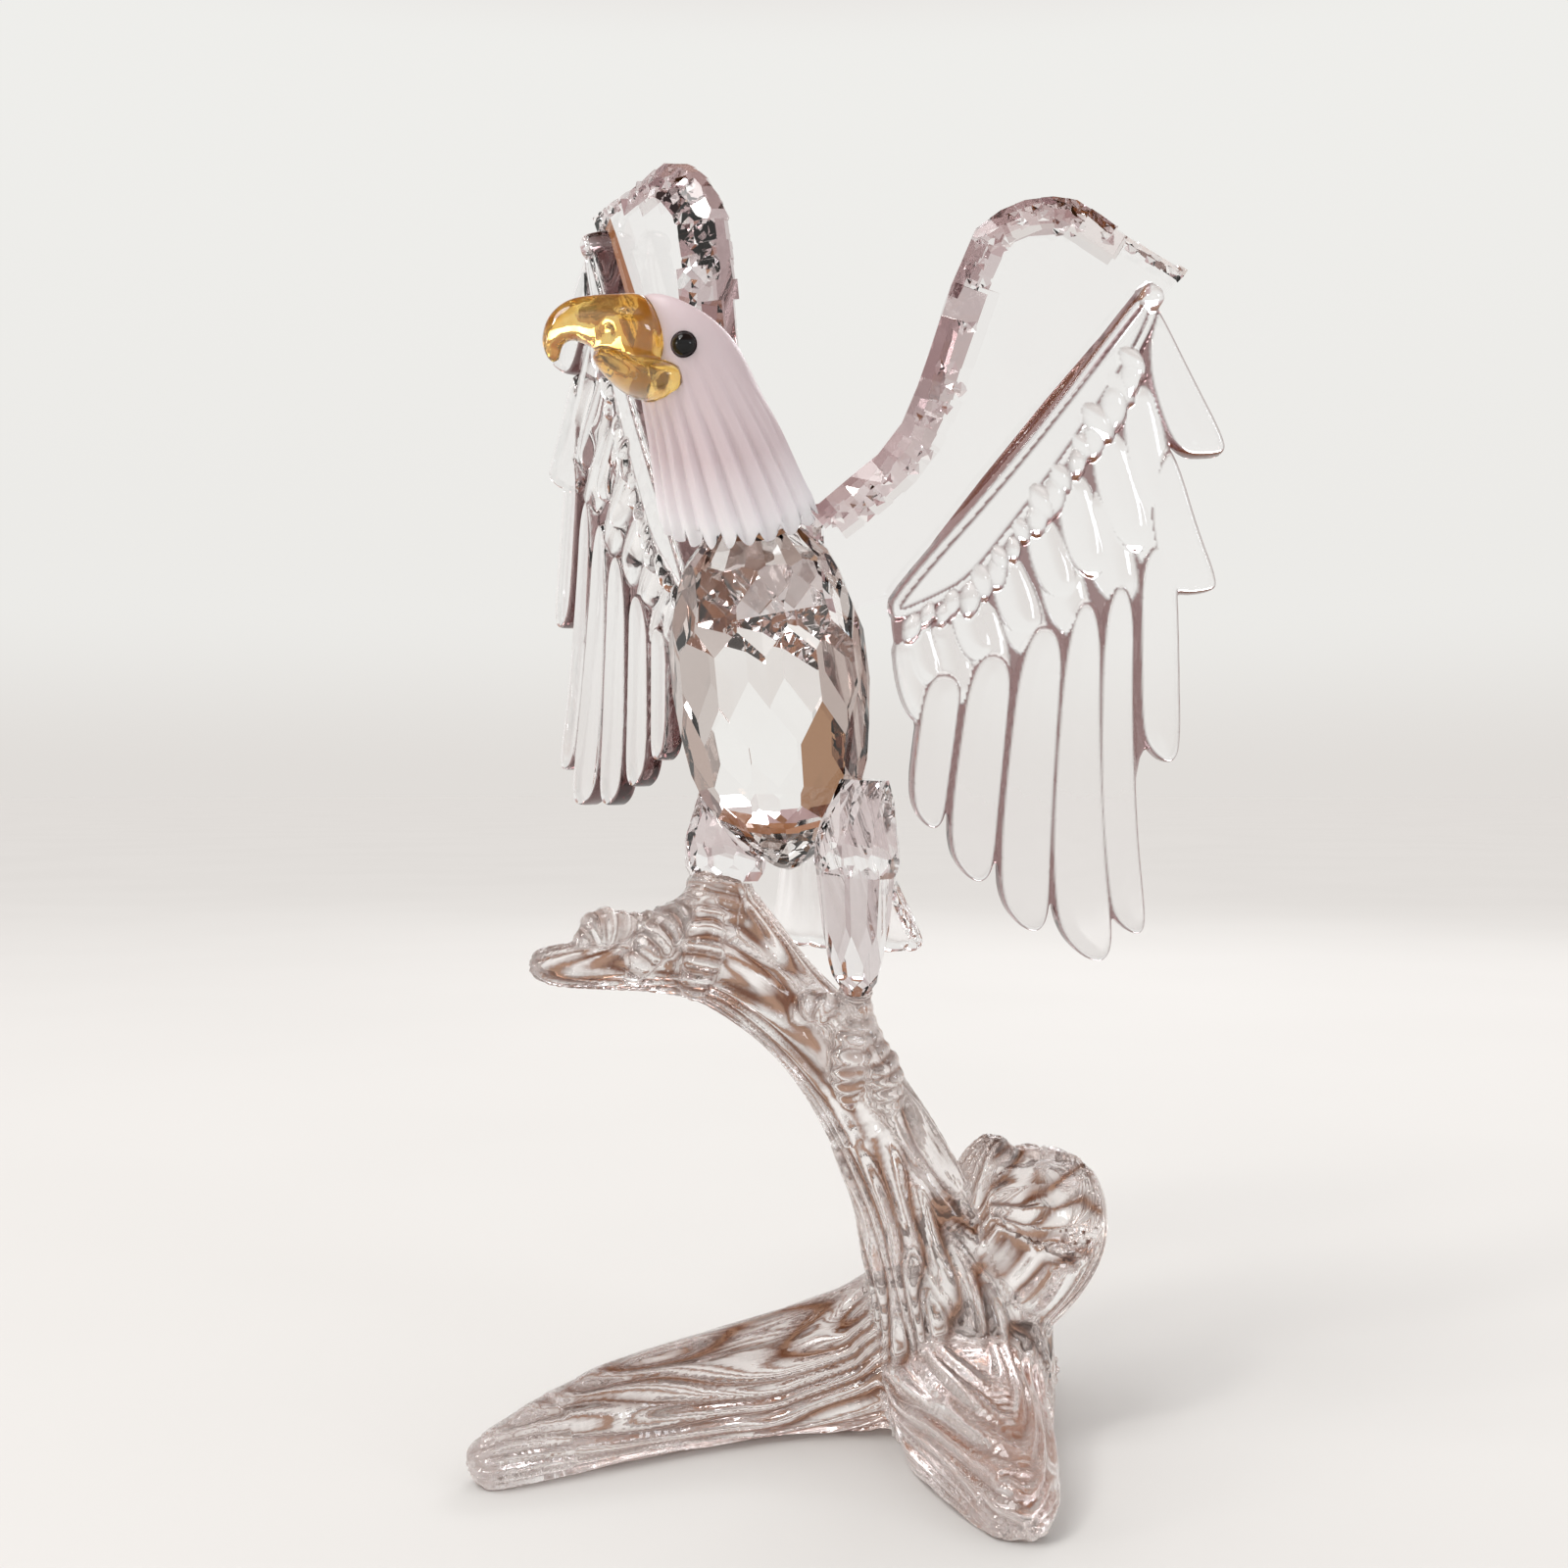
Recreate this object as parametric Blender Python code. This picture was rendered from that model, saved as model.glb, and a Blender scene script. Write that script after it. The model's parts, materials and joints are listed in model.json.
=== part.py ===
"""A cut-crystal eagle on a cast-glass driftwood branch. Metres, +Z up, the flat underside at z = 0."""

import math
from itertools import pairwise

import bmesh
import bpy
from mathutils import Matrix, Vector

# Driving dimensions, in metres. The pose and the carving are shares of the height.
MM = 0.001
HEIGHT = 165.0 * MM
GLUE_GAP = 0.3 * MM
EYE_DIAMETER = 2.9 * MM
WING_THICKNESS = 7.5 * MM
WING_BEVEL = 2.6 * MM
FEATHER_THICKNESS = 3.0 * MM
TAIL_THICKNESS = 3.4 * MM

# One share is a 165th of the height. Every coordinate below is in shares.
SHARE = HEIGHT / 165
EYE_SHOWS = 0.45
CUT_TOLERANCE = 1e-7
SAME_PLACE = 1e-5
ROOM = 400

# Torso: its axis, and rows of facets as (height on the axis, radius, lean in degrees, turn in facets).
BODY_FOOT = (-23.0, -6.0, 73.5)
BODY_AXIS = (-0.102, -0.266, 0.959)
BODY_FACING = (-0.53, -0.85, 0.0)
BODY_DEPTH = 0.93
BODY_LENGTH = 52
BODY_FACETS = (16, 12, 12, 12, 12, 8)
BODY_ROWS = (
    (38.0, 10.6, 34, 0.5),
    (33.0, 11.5, 17, 0.0),
    (25.5, 12.1, 2, 0.5),
    (17.0, 11.6, -8, 0.0),
    (10.0, 10.0, -31, 0.5),
    (4.0, 6.0, -52, 0.0),
)

# Head and neck: where it is glued on the torso, its facing, and rings as
# (x, y, z of the centre, half width, half depth, pitch in degrees, flute depth).
NECK_JOINT = (-29.3, -17.0, 117.0)
NECK_JOINT_AXIS = (-0.106, -0.519, 0.848)
HEAD_FACING = (-0.866, -0.5, 0.0)
HEAD_FLUTES = 20
HEAD_RINGS = (
    (-27.4, -14.5, 109.8, 9.8, 10.2, -6, 0.075),
    (-29.3, -18.0, 117.1, 9.7, 10.1, 0, 0.07),
    (-31.0, -20.3, 123.4, 8.8, 9.2, 6, 0.06),
    (-32.4, -21.7, 128.2, 8.0, 8.7, 12, 0.04),
    (-33.9, -23.2, 132.6, 7.2, 8.3, 20, 0.015),
    (-34.8, -24.3, 136.2, 6.4, 7.7, 25, 0.0),
    (-35.1, -24.8, 138.3, 5.0, 6.2, 26, 0.0),
    (-35.4, -25.0, 139.4, 2.4, 3.0, 26, 0.0),
)

# Beak: its base, and rings as (forward, up, half width, half height, forward lean in degrees).
BEAK_BASE = (-39.2, -27.0, 134.7)
BEAK_SIDES = 14
UPPER_BILL = (
    (-0.6, 1.7, 2.6, 4.4, 20),
    (1.4, 1.9, 3.7, 4.5, 12),
    (4.0, 2.2, 3.7, 3.8, 8),
    (6.8, 2.3, 3.2, 3.2, 14),
    (9.2, 2.1, 2.5, 2.7, 32),
    (11.1, 1.2, 1.9, 2.0, 56),
    (12.2, -0.4, 1.3, 1.3, 84),
    (12.2, -1.9, 0.8, 0.8, 108),
    (11.9, -2.6, 0.4, 0.4, 120),
)
LOWER_BILL = (
    (-1.6, -3.3, 4.4, 2.1, 18),
    (0.8, -3.4, 4.4, 2.2, 4),
    (3.4, -2.8, 3.3, 1.7, -12),
    (5.8, -1.6, 2.1, 1.2, -20),
    (7.0, -0.9, 1.0, 0.7, -24),
)
EYE_FORWARD = 2.9
EYE_OUT = 5.0
EYE_CENTRE = (-35.2, -24.5, 134.7)
EYE_SIDES = 12

# Legs: bell-shaped upper thighs, and the bird's left leg's slimmer shank, as rows like the torso's.
LEG_FACETS = (8, 8, 8)
BELL_ROWS = (
    (1.6, 4.9, -30, 0.0),
    (3.6, 5.1, 8, 0.5),
    (8.5, 4.3, 16, 0.0),
)
SHANK_ROWS = (
    (1.8, 2.6, -32, 0.0),
    (5.5, 3.5, -13, 0.5),
    (11.0, 4.1, -5, 0.0),
)
LEFT_BELL = ((-15.0, -15.6, 72.6), (-14.4, -16.2, 85.0))
LEFT_SHANK = ((-14.8, -12.4, 58.4), (-15.1, -15.9, 75.6))
RIGHT_BELL = ((-31.4, -6.0, 72.1), (-31.0, -5.8, 84.5))

# Tail fan: half outline as (half width, height) from its tip, and where it lies.
TAIL_TIP = (-15.4, 2.0, 62.9)
TAIL_RISE = (-0.16, -0.27, 0.95)
TAIL_OUTLINE = (
    (0.0, 0.0),
    (4.2, 0.6),
    (7.6, -0.3),
    (10.2, 0.2),
    (11.0, 1.6),
    (8.3, 10.0),
    (5.6, 19.0),
    (3.6, 25.0),
)

# Wings: the root, the way out along the wing and the way up in its plate.
LEFT_WING = ((-17.9, -12.0, 118.6), (1.0, 0.0, 0.0), (0.0, -0.174, 0.985))
RIGHT_WING = ((-28.6, -10.0, 118.1), (-0.558, 0.713, 0.425), (0.08, -0.431, 0.893))

# The upper plate's outline from the root, over the wrist, to its tip: the cut edge, then the plain edge.
WING_EDGE = (
    (-1.5, 0.7),
    (2.3, 3.9),
    (5.9, 6.8),
    (8.9, 10.7),
    (10.8, 15.2),
    (12.2, 19.3),
    (14.8, 27.4),
    (17.7, 34.1),
    (20.7, 36.3),
    (23.7, 37.5),
    (27.1, 37.9),
    (30.1, 37.5),
    (33.2, 35.6),
    (36.4, 33.4),
    (43.8, 29.1),
)
WING_PLAIN = ((40.7, 26.0), (7.6, -11.2), (3.6, -12.1), (0.0, -20.0), (-6.0, -20.0), (-6.0, 0.0))
# How far the middle of each facet on the cut edge stands out.
WING_FACET_RISE = 0.5

# The feather plate: the sheet that webs its feathers, its raised upper band, the feathers and the coverts.
PLATE_SHEET = (
    (37.6, 27.4),
    (7.4, -10.1),
    (7.6, -15.5),
    (9.4, -23.0),
    (10.8, -27.0),
    (11.2, -34.5),
    (14.4, -37.5),
    (21.0, -45.0),
    (28.2, -51.0),
    (36.2, -50.0),
    (39.5, -48.5),
    (38.8, -30.5),
    (42.6, -28.5),
    (42.0, -9.0),
    (42.2, 7.2),
    (39.8, 24.0),
)
PLATE_BAND = (
    (38.8, 27.6),
    (37.6, 27.4),
    (7.4, -10.1),
    (6.8, -12.6),
    (8.3, -15.7),
    (18.4, -10.8),
    (29.6, 3.6),
    (39.5, 20.6),
    (40.4, 25.2),
)
# The sheet's and the long feathers' thickness as shares of the band's.
SHEET_THICKNESS = 0.55
LONG_THICKNESS = 0.9
# Each as (root, tip, half width, bow).
LONG_FEATHERS = (
    ((14.6, -20.0), (12.9, -40.2), 2.5, -0.2),
    ((20.4, -17.5), (18.9, -47.6), 3.0, -0.6),
    ((26.8, -14.0), (25.6, -54.0), 3.1, -1.0),
    ((32.0, -12.0), (33.6, -58.0), 3.3, -1.6),
    ((36.2, -9.0), (38.6, -54.2), 2.5, -1.0),
    ((39.6, -3.0), (41.8, -31.6), 2.5, 0.0),
)
# The two broad feathers of the wing's outer edge, as outlines.
OUTER_FEATHERS = (
    (
        (38.9, 24.6),
        (39.8, 24.4),
        (44.1, 16.5),
        (48.6, 8.6),
        (48.2, 7.1),
        (46.8, 6.6),
        (43.4, 6.6),
        (40.6, 9.5),
        (37.6, 18.0),
    ),
    (
        (41.0, 8.5),
        (42.9, 6.0),
        (45.7, -2.3),
        (48.2, -8.5),
        (47.7, -9.9),
        (42.9, -10.4),
        (40.5, -8.5),
        (38.5, 2.0),
    ),
)
# Each row as (first tip, last tip, first root, last root, half width, thickness share).
COVERT_COUNT = 6
COVERT_ROWS = (
    ((11.2, -26.0), (38.6, -10.2), (9.6, -14.0), (35.6, 4.0), 2.9, 0.86),
    ((12.8, -21.2), (40.2, 0.0), (10.8, -11.5), (36.8, 13.5), 2.6, 1.0),
)
# Cross-sections along a feather as (share of its length, share of its width, shift across it).
FEATHER_STATIONS = ((0.0, 0.7, 0.0), (0.4, 0.95, 0.0), (0.87, 1.0, 0.0), (1.0, 0.35, 0.5))
COVERT_STATIONS = ((0.0, 0.8, 0.0), (0.7, 1.0, 0.0), (1.0, 0.3, 0.3))
FEATHER_SECTION = ((-1.0, 0.0), (1.0, 0.0), (0.9, 0.45), (0.0, 1.0), (-0.9, 0.45))

# Branch limbs as (x, y, z, radius) from one end to the other.
TRUNK = (
    (-55.0, -18.6, 62.8, 1.3),
    (-52.0, -17.8, 62.4, 2.5),
    (-47.8, -16.0, 62.2, 3.0),
    (-40.8, -13.0, 62.3, 3.8),
    (-33.0, -10.0, 61.5, 4.9),
    (-26.0, -8.0, 57.2, 5.1),
    (-20.0, -6.2, 51.0, 4.9),
    (-14.7, -5.0, 43.4, 5.1),
    (-10.3, -4.0, 35.0, 6.4),
    (-6.2, -3.0, 26.5, 8.6),
    (-1.6, -2.0, 17.0, 11.6),
    (0.2, -0.5, 7.5, 11.8),
    (0.8, 0.6, -2.5, 11.2),
)
RIDGE = (
    (-32.4, -6.6, 73.6, 3.6),
    (-30.9, -7.2, 69.0, 3.9),
    (-27.2, -7.6, 64.2, 3.9),
    (-22.6, -7.8, 59.3, 3.4),
    (-18.0, -8.0, 54.6, 3.4),
    (-13.2, -7.2, 47.6, 3.7),
    (-8.4, -5.6, 40.0, 4.0),
    (-3.4, -4.2, 31.5, 4.0),
)
LEFT_ROOT = (
    (-61.5, -21.0, 2.0, 1.2),
    (-59.8, -19.6, 2.4, 3.4),
    (-53.5, -14.6, 3.4, 5.2),
    (-45.0, -8.4, 4.4, 6.8),
    (-35.0, -2.4, 5.0, 7.9),
    (-24.0, 2.0, 6.0, 8.8),
    (-13.0, 2.6, 8.6, 9.6),
    (-5.0, 0.6, 14.0, 9.4),
)
FRONT_ROOT = (
    (2.8, -37.0, 1.6, 1.2),
    (2.8, -35.4, 2.2, 3.6),
    (2.2, -30.0, 3.4, 6.0),
    (0.8, -22.0, 4.8, 8.2),
    (-0.6, -13.0, 5.8, 9.8),
    (-0.8, -4.0, 7.2, 10.8),
)
BACK_ROOT = (
    (9.5, 21.5, 1.6, 1.0),
    (8.8, 20.0, 2.0, 3.2),
    (6.6, 14.5, 3.4, 6.4),
    (4.0, 6.0, 6.0, 9.6),
)
STUB = (
    (-1.6, -1.4, 12.0, 7.0),
    (3.0, -1.2, 19.0, 9.6),
    (7.4, -0.8, 25.4, 10.6),
    (9.2, 0.0, 29.8, 10.0),
    (10.2, 0.4, 33.6, 7.6),
    (10.6, 0.6, 36.4, 3.4),
)
SPLINTER = (
    (2.0, -1.6, 27.0, 4.8),
    (2.8, -1.4, 32.0, 4.8),
    (3.4, -1.2, 35.6, 3.8),
    (3.8, -1.0, 38.4, 1.6),
)
FLUTE_DEPTH = 0.2
# Each limb with the direction square to its section's first corner and its twist in radians, and its flutes.
LIMBS = (
    (TRUNK, (0.0, 1.0, 0.0), 0.9),
    (RIDGE, (0.0, 1.0, 0.0), 0.5),
    (LEFT_ROOT, (0.0, 0.0, 1.0), -0.4),
    (FRONT_ROOT, (0.0, 0.0, 1.0), 0.3),
    (BACK_ROOT, (0.0, 0.0, 1.0), 0.0),
    (STUB, (0.0, 1.0, 0.0), 0.0),
    (SPLINTER, (0.0, 1.0, 0.0), 0.0),
)
LIMB_FLUTES = (9, 6, 7, 7, 6, 6, 4)

# The broken stub's scoop: it fans out from its apex on the bark, and faces the front.
HOLLOW_APEX = (2.4, -10.0, 31.4)
HOLLOW_END = (17.2, -2.0, 32.4)
HOLLOW_FACING = (0.475, -0.695, 0.54)
HOLLOW_HALF_WIDTH = 9.0
HOLLOW_DEPTH = 4.4
HOLLOW_TAPER = 0.3
HOLLOW_FLUTES = 9

# Feet: the ankles under the legs and the gripping toes, as limbs.
TOE_FLUTES = 4
TOE_FLUTE_DEPTH = 0.08
TOE_ACROSS = (0.3, 0.9, -0.3)
FEET = (
    (
        (-31.4, -6.4, 74.6, 3.6),
        (-32.6, -8.2, 69.4, 4.3),
        (-33.6, -9.4, 63.4, 4.3),
    ),
    (
        (-34.4, -9.8, 68.8, 2.8),
        (-38.6, -12.6, 66.8, 2.5),
        (-42.8, -14.6, 66.4, 2.2),
        (-46.4, -16.2, 66.8, 2.5),
        (-49.0, -17.4, 64.6, 0.8),
    ),
    (
        (-35.0, -10.6, 68.6, 2.4),
        (-38.0, -14.0, 66.8, 2.5),
        (-40.4, -16.0, 64.2, 2.2),
        (-42.4, -16.8, 60.4, 0.9),
    ),
    (
        (-34.0, -11.2, 68.6, 2.4),
        (-33.6, -14.0, 65.0, 2.4),
        (-34.4, -14.8, 61.0, 2.2),
        (-35.2, -14.6, 57.4, 0.9),
    ),
    (
        (-14.8, -12.2, 60.5, 1.9),
        (-14.9, -11.8, 56.6, 2.3),
        (-15.0, -10.4, 53.0, 3.3),
        (-15.0, -8.8, 48.6, 3.6),
    ),
    (
        (-15.5, -12.2, 54.8, 2.1),
        (-17.9, -12.6, 56.2, 2.1),
        (-20.4, -12.2, 56.6, 1.9),
        (-22.4, -11.2, 54.8, 0.8),
    ),
    (
        (-15.4, -12.8, 54.4, 2.2),
        (-15.9, -12.9, 50.8, 2.2),
        (-15.9, -12.0, 47.2, 2.1),
        (-15.7, -10.8, 43.8, 0.9),
    ),
    (
        (-14.3, -12.2, 54.4, 2.1),
        (-12.8, -12.0, 51.2, 2.2),
        (-11.2, -11.0, 48.4, 2.3),
        (-10.9, -9.6, 44.8, 1.9),
        (-11.4, -8.2, 42.0, 0.8),
    ),
)

UP = Vector((0.0, 0.0, 1.0))


def at(point):
    """A point given in shares, in metres."""
    return Vector(point) * SHARE


def frame(origin, along, facing):
    """A matrix whose Z is along and whose Y is the part of facing square to it. The origin is in shares."""
    z = Vector(along).normalized()
    x = Vector(facing).cross(z).normalized()
    y = z.cross(x)
    return Matrix.Translation(at(origin)) @ Matrix((x, y, z)).transposed().to_4x4()


def plate_frame(pose):
    """A wing's matrix: X out along the wing, Y up it, Z out of its front face."""
    origin, out, up = pose
    x = Vector(out).normalized()
    y = (Vector(up) - x * x.dot(Vector(up))).normalized()
    z = x.cross(y)
    if z.dot(Vector(BODY_FACING)) < 0:
        z = -z
    return Matrix.Translation(at(origin)) @ Matrix((x, y, z)).transposed().to_4x4()


def slice_off(bm, point, normal):
    """Cuts away what lies beyond a plane and closes the cut."""
    geom = bm.verts[:] + bm.edges[:] + bm.faces[:]
    cut = bmesh.ops.bisect_plane(
        bm, geom=geom, dist=CUT_TOLERANCE, plane_co=point, plane_no=normal, clear_outer=True
    )
    edges = [edge for edge in cut["geom_cut"] if isinstance(edge, bmesh.types.BMEdge)]
    bmesh.ops.holes_fill(bm, edges=edges)


def gem(rows, facets, length, grow, depth=1.0):
    """A convex cut stone standing on its flat foot. grow moves every face outward."""
    bm = bmesh.new()
    bmesh.ops.create_cube(bm, size=ROOM * SHARE)
    slice_off(bm, UP * (length * SHARE + grow), UP)
    slice_off(bm, -UP * grow, -UP)
    for (height, radius, lean, turn), count in zip(rows, facets):
        for index in range(count):
            angle = math.tau * (index + turn) / count
            outward = Vector((math.cos(angle), math.sin(angle), 0.0))
            point = (outward * radius + UP * height) * SHARE
            tilt = math.radians(lean)
            normal = outward * math.cos(tilt) + UP * math.sin(tilt)
            point.y *= depth
            normal.y /= depth
            normal.normalize()
            slice_off(bm, point + normal * grow, normal)
    return bm


def loft(rings):
    """A closed skin through rings of points."""
    bm = bmesh.new()
    loops = [[bm.verts.new(point) for point in ring] for ring in rings]
    for low, high in pairwise(loops):
        for index, vert in enumerate(low):
            after = (index + 1) % len(low)
            bm.faces.new((vert, low[after], high[after], high[index]))
    ends = [bm.faces.new(loops[0]), bm.faces.new(loops[-1])]
    bmesh.ops.poke(bm, faces=ends)
    bmesh.ops.triangulate(bm, faces=bm.faces[:], quad_method="FIXED")
    bmesh.ops.recalc_face_normals(bm, faces=bm.faces[:])
    return bm


def smooth_path(points, steps):
    """Samples of a smooth curve through points of any number of values."""
    held = [points[0], *points, points[-1]]
    samples = []
    for p, q, r, s in zip(held, held[1:], held[2:], held[3:]):
        for step in range(steps):
            t = step / steps
            sample = []
            for a, b, c, d in zip(p, q, r, s):
                bend = 2 * a - 5 * b + 4 * c - d + t * (3 * (b - c) + d - a)
                sample.append(b + 0.5 * t * (c - a + t * bend))
            samples.append(sample)
    samples.append(list(points[-1]))
    return samples


def limb(points, flutes, depth, across, twist=0.0, steps=2):
    """A fluted limb of changing radius. Every second corner of its section lies in a groove."""
    path = smooth_path(points, steps)
    rings = []
    for index, (x, y, z, radius) in enumerate(path):
        before = Vector(path[max(index - 1, 0)][:3])
        after = Vector(path[min(index + 1, len(path) - 1)][:3])
        along = (after - before).normalized()
        side = along.cross(Vector(across)).normalized()
        top = side.cross(along)
        turn = twist * index / (len(path) - 1)
        ring = []
        for corner in range(2 * flutes):
            angle = math.pi * corner / flutes + turn
            reach = radius * (1 - depth * (corner % 2)) * SHARE
            ring.append(at((x, y, z)) + (side * math.cos(angle) + top * math.sin(angle)) * reach)
        rings.append(ring)
    return loft(rings)


def prism(outline, low, high):
    """A flat outline in shares, given thickness from low to high in metres."""
    bm = bmesh.new()
    face = bm.faces.new([bm.verts.new((x * SHARE, y * SHARE, low)) for x, y in outline])
    sides = bmesh.ops.extrude_face_region(bm, geom=[face])["geom"]
    top = [item for item in sides if isinstance(item, bmesh.types.BMVert)]
    bmesh.ops.translate(bm, verts=top, vec=(0.0, 0.0, high - low))
    bmesh.ops.recalc_face_normals(bm, faces=bm.faces[:])
    return bm


def feather(root, tip, half_width, bow, stations, low, thickness):
    """One feather: flat behind, chamfered in front, narrowing to its tip."""
    root = Vector((*root, 0.0))
    along = Vector((*tip, 0.0)) - root
    side = Vector((-along.y, along.x, 0.0)).normalized()
    bm = bmesh.new()
    for share, widen, shift in stations:
        middle = root + along * share + side * (bow * 4 * share * (1 - share) + half_width * shift)
        for across, rise in FEATHER_SECTION:
            point = (middle + side * (half_width * widen * across)) * SHARE
            point.z = low + thickness * rise * (0.5 + 0.5 * widen)
            bm.verts.new(point)
    hull = bmesh.ops.convex_hull(bm, input=bm.verts[:])
    spare = {item for item in hull["geom_interior"] + hull["geom_unused"]}
    inside = [item for item in spare if isinstance(item, bmesh.types.BMVert)]
    bmesh.ops.delete(bm, geom=inside, context="VERTS")
    bmesh.ops.recalc_face_normals(bm, faces=bm.faces[:])
    return bm


def add(name, bm, collection, matrix=None):
    """A mesh object from a finished bmesh."""
    if matrix is not None:
        bmesh.ops.transform(bm, matrix=matrix, verts=bm.verts[:])
    bmesh.ops.recalc_face_normals(bm, faces=bm.faces[:])
    mesh = bpy.data.meshes.new(name)
    bm.to_mesh(mesh)
    bm.free()
    piece = bpy.data.objects.new(name, mesh)
    collection.objects.link(piece)
    return piece


def fuse(name, shapes, collection):
    """One closed piece from shapes that run into each other."""
    first, *others = shapes
    piece = add(name, first, collection)
    if not others:
        return piece
    joined = bpy.data.collections.new(name + "_shapes")
    helpers = [add(f"{name}_{index}", shape, joined) for index, shape in enumerate(others)]
    bpy.context.scene.collection.children.link(joined)
    union = piece.modifiers.new("union", "BOOLEAN")
    union.operation = "UNION"
    union.operand_type = "COLLECTION"
    union.collection = joined
    graph = bpy.context.evaluated_depsgraph_get()
    whole = bpy.data.meshes.new_from_object(piece.evaluated_get(graph))
    piece.modifiers.clear()
    piece.data = whole
    for helper in helpers:
        bpy.data.objects.remove(helper)
    bpy.data.collections.remove(joined)
    return piece


def cut(piece, cutter):
    """Takes a cutter's shape out of a piece."""
    difference = piece.modifiers.new("less_" + cutter.name, "BOOLEAN")
    difference.operation = "DIFFERENCE"
    difference.object = cutter


def as_cutter(shape):
    """Marks a shape that is only ever taken away from others."""
    shape.hide_render = True
    shape.display_type = "WIRE"
    return shape


def add_cutter(name, bm, collection, matrix=None):
    """A cutter from a finished bmesh."""
    return as_cutter(add(name, bm, collection, matrix))


def body_gem(grow):
    """The torso, cut square to the neck joint at its top."""
    bm = gem(BODY_ROWS, BODY_FACETS, BODY_LENGTH, grow, BODY_DEPTH)
    bmesh.ops.transform(bm, matrix=frame(BODY_FOOT, BODY_AXIS, BODY_FACING), verts=bm.verts[:])
    joint_axis = Vector(NECK_JOINT_AXIS).normalized()
    slice_off(bm, at(NECK_JOINT) + joint_axis * (grow - GLUE_GAP), joint_axis)
    return bm


def head_skin(grow):
    """The head and neck, cut flat at the neck joint."""
    forward = Vector(HEAD_FACING).normalized()
    side = UP.cross(forward)
    rings = []
    for x, y, z, half_width, half_depth, pitch, flute in HEAD_RINGS:
        lift = math.radians(pitch)
        front = forward * math.cos(lift) + UP * math.sin(lift)
        ring = []
        for corner in range(2 * HEAD_FLUTES):
            angle = math.pi * corner / HEAD_FLUTES
            groove = 1 - flute * (corner % 2)
            sideways = side * math.sin(angle) * (half_width * SHARE * groove + grow)
            lengthways = front * math.cos(angle) * (half_depth * SHARE * groove + grow)
            ring.append(at((x, y, z)) + sideways + lengthways)
        rings.append(ring)
    bm = loft(rings)
    joint_axis = Vector(NECK_JOINT_AXIS).normalized()
    slice_off(bm, at(NECK_JOINT) - joint_axis * grow, -joint_axis)
    return bm


def bill(rings, grow):
    """One half of the beak, growing from its base inside the head."""
    forward = Vector(HEAD_FACING).normalized()
    side = UP.cross(forward)
    skins = []
    for index, (ahead, rise, half_width, half_height, lean) in enumerate(rings):
        tilt = math.radians(lean)
        upward = UP * math.cos(tilt) + forward * math.sin(tilt)
        centre = at(BEAK_BASE) + (forward * ahead + UP * rise) * SHARE
        if index == 0:
            centre -= forward * grow
        ring = []
        for corner in range(BEAK_SIDES):
            angle = math.tau * corner / BEAK_SIDES
            sideways = side * math.cos(angle) * (half_width * SHARE + grow)
            ring.append(centre + sideways + upward * math.sin(angle) * (half_height * SHARE + grow))
        skins.append(ring)
    return loft(skins)


def eye_ball(side, diameter):
    """A round bead, sunk so that a little less than half of it shows."""
    forward = Vector(HEAD_FACING).normalized()
    left = UP.cross(forward)
    outward = (forward * EYE_FORWARD + left * (EYE_OUT * side)).normalized()
    surface = at(EYE_CENTRE) + (forward * EYE_FORWARD + left * (EYE_OUT * side)) * SHARE
    bm = bmesh.new()
    bmesh.ops.create_uvsphere(bm, u_segments=EYE_SIDES, v_segments=EYE_SIDES // 2, radius=diameter / 2)
    centre = surface + outward * (EYE_SHOWS - 0.5) * EYE_DIAMETER
    matrix = Matrix.Translation(centre) @ outward.to_track_quat("Z", "Y").to_matrix().to_4x4()
    bmesh.ops.transform(bm, matrix=matrix, verts=bm.verts[:])
    return bm


def leg_part(ends, rows, grow):
    """A faceted bell or shank between two ends of the leg."""
    foot, top = ends
    along = Vector(top) - Vector(foot)
    bm = gem(rows, LEG_FACETS, along.length, grow)
    bmesh.ops.transform(bm, matrix=frame(foot, along, BODY_FACING), verts=bm.verts[:])
    return bm


def wing_plate(place, side):
    """The upper wing plate: a thick sheet with a leading edge cut into facets, front and back.

    It ends at the bird's middle plane. side is 1 on its left and -1 on its right.
    """
    bm = prism(WING_EDGE + WING_PLAIN, -WING_THICKNESS, 0.0)
    middles = [(Vector(start) + Vector(end)) / 2 * SHARE for start, end in pairwise(WING_EDGE)]
    rim = []
    for edge in bm.edges:
        first, second = (vert.co for vert in edge.verts)
        middle = ((first + second) / 2).xy
        level = abs(first.z - second.z) < SAME_PLACE
        if level and min((middle - other).length for other in middles) < SAME_PLACE:
            rim.append(edge)
    bevelled = bmesh.ops.bevel(
        bm,
        geom=rim,
        offset=WING_BEVEL,
        offset_type="OFFSET",
        affect="EDGES",
        segments=1,
        profile=0.5,
        material=-1,
    )
    bmesh.ops.poke(bm, faces=bevelled["faces"], offset=WING_FACET_RISE * SHARE)
    bmesh.ops.transform(bm, matrix=place, verts=bm.verts[:])
    bmesh.ops.recalc_face_normals(bm, faces=bm.faces[:])
    inward = Vector(BODY_AXIS).cross(Vector(BODY_FACING)).normalized() * -side
    slice_off(bm, at(BODY_FOOT) - inward * GLUE_GAP / 2, inward)
    return bm


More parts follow.
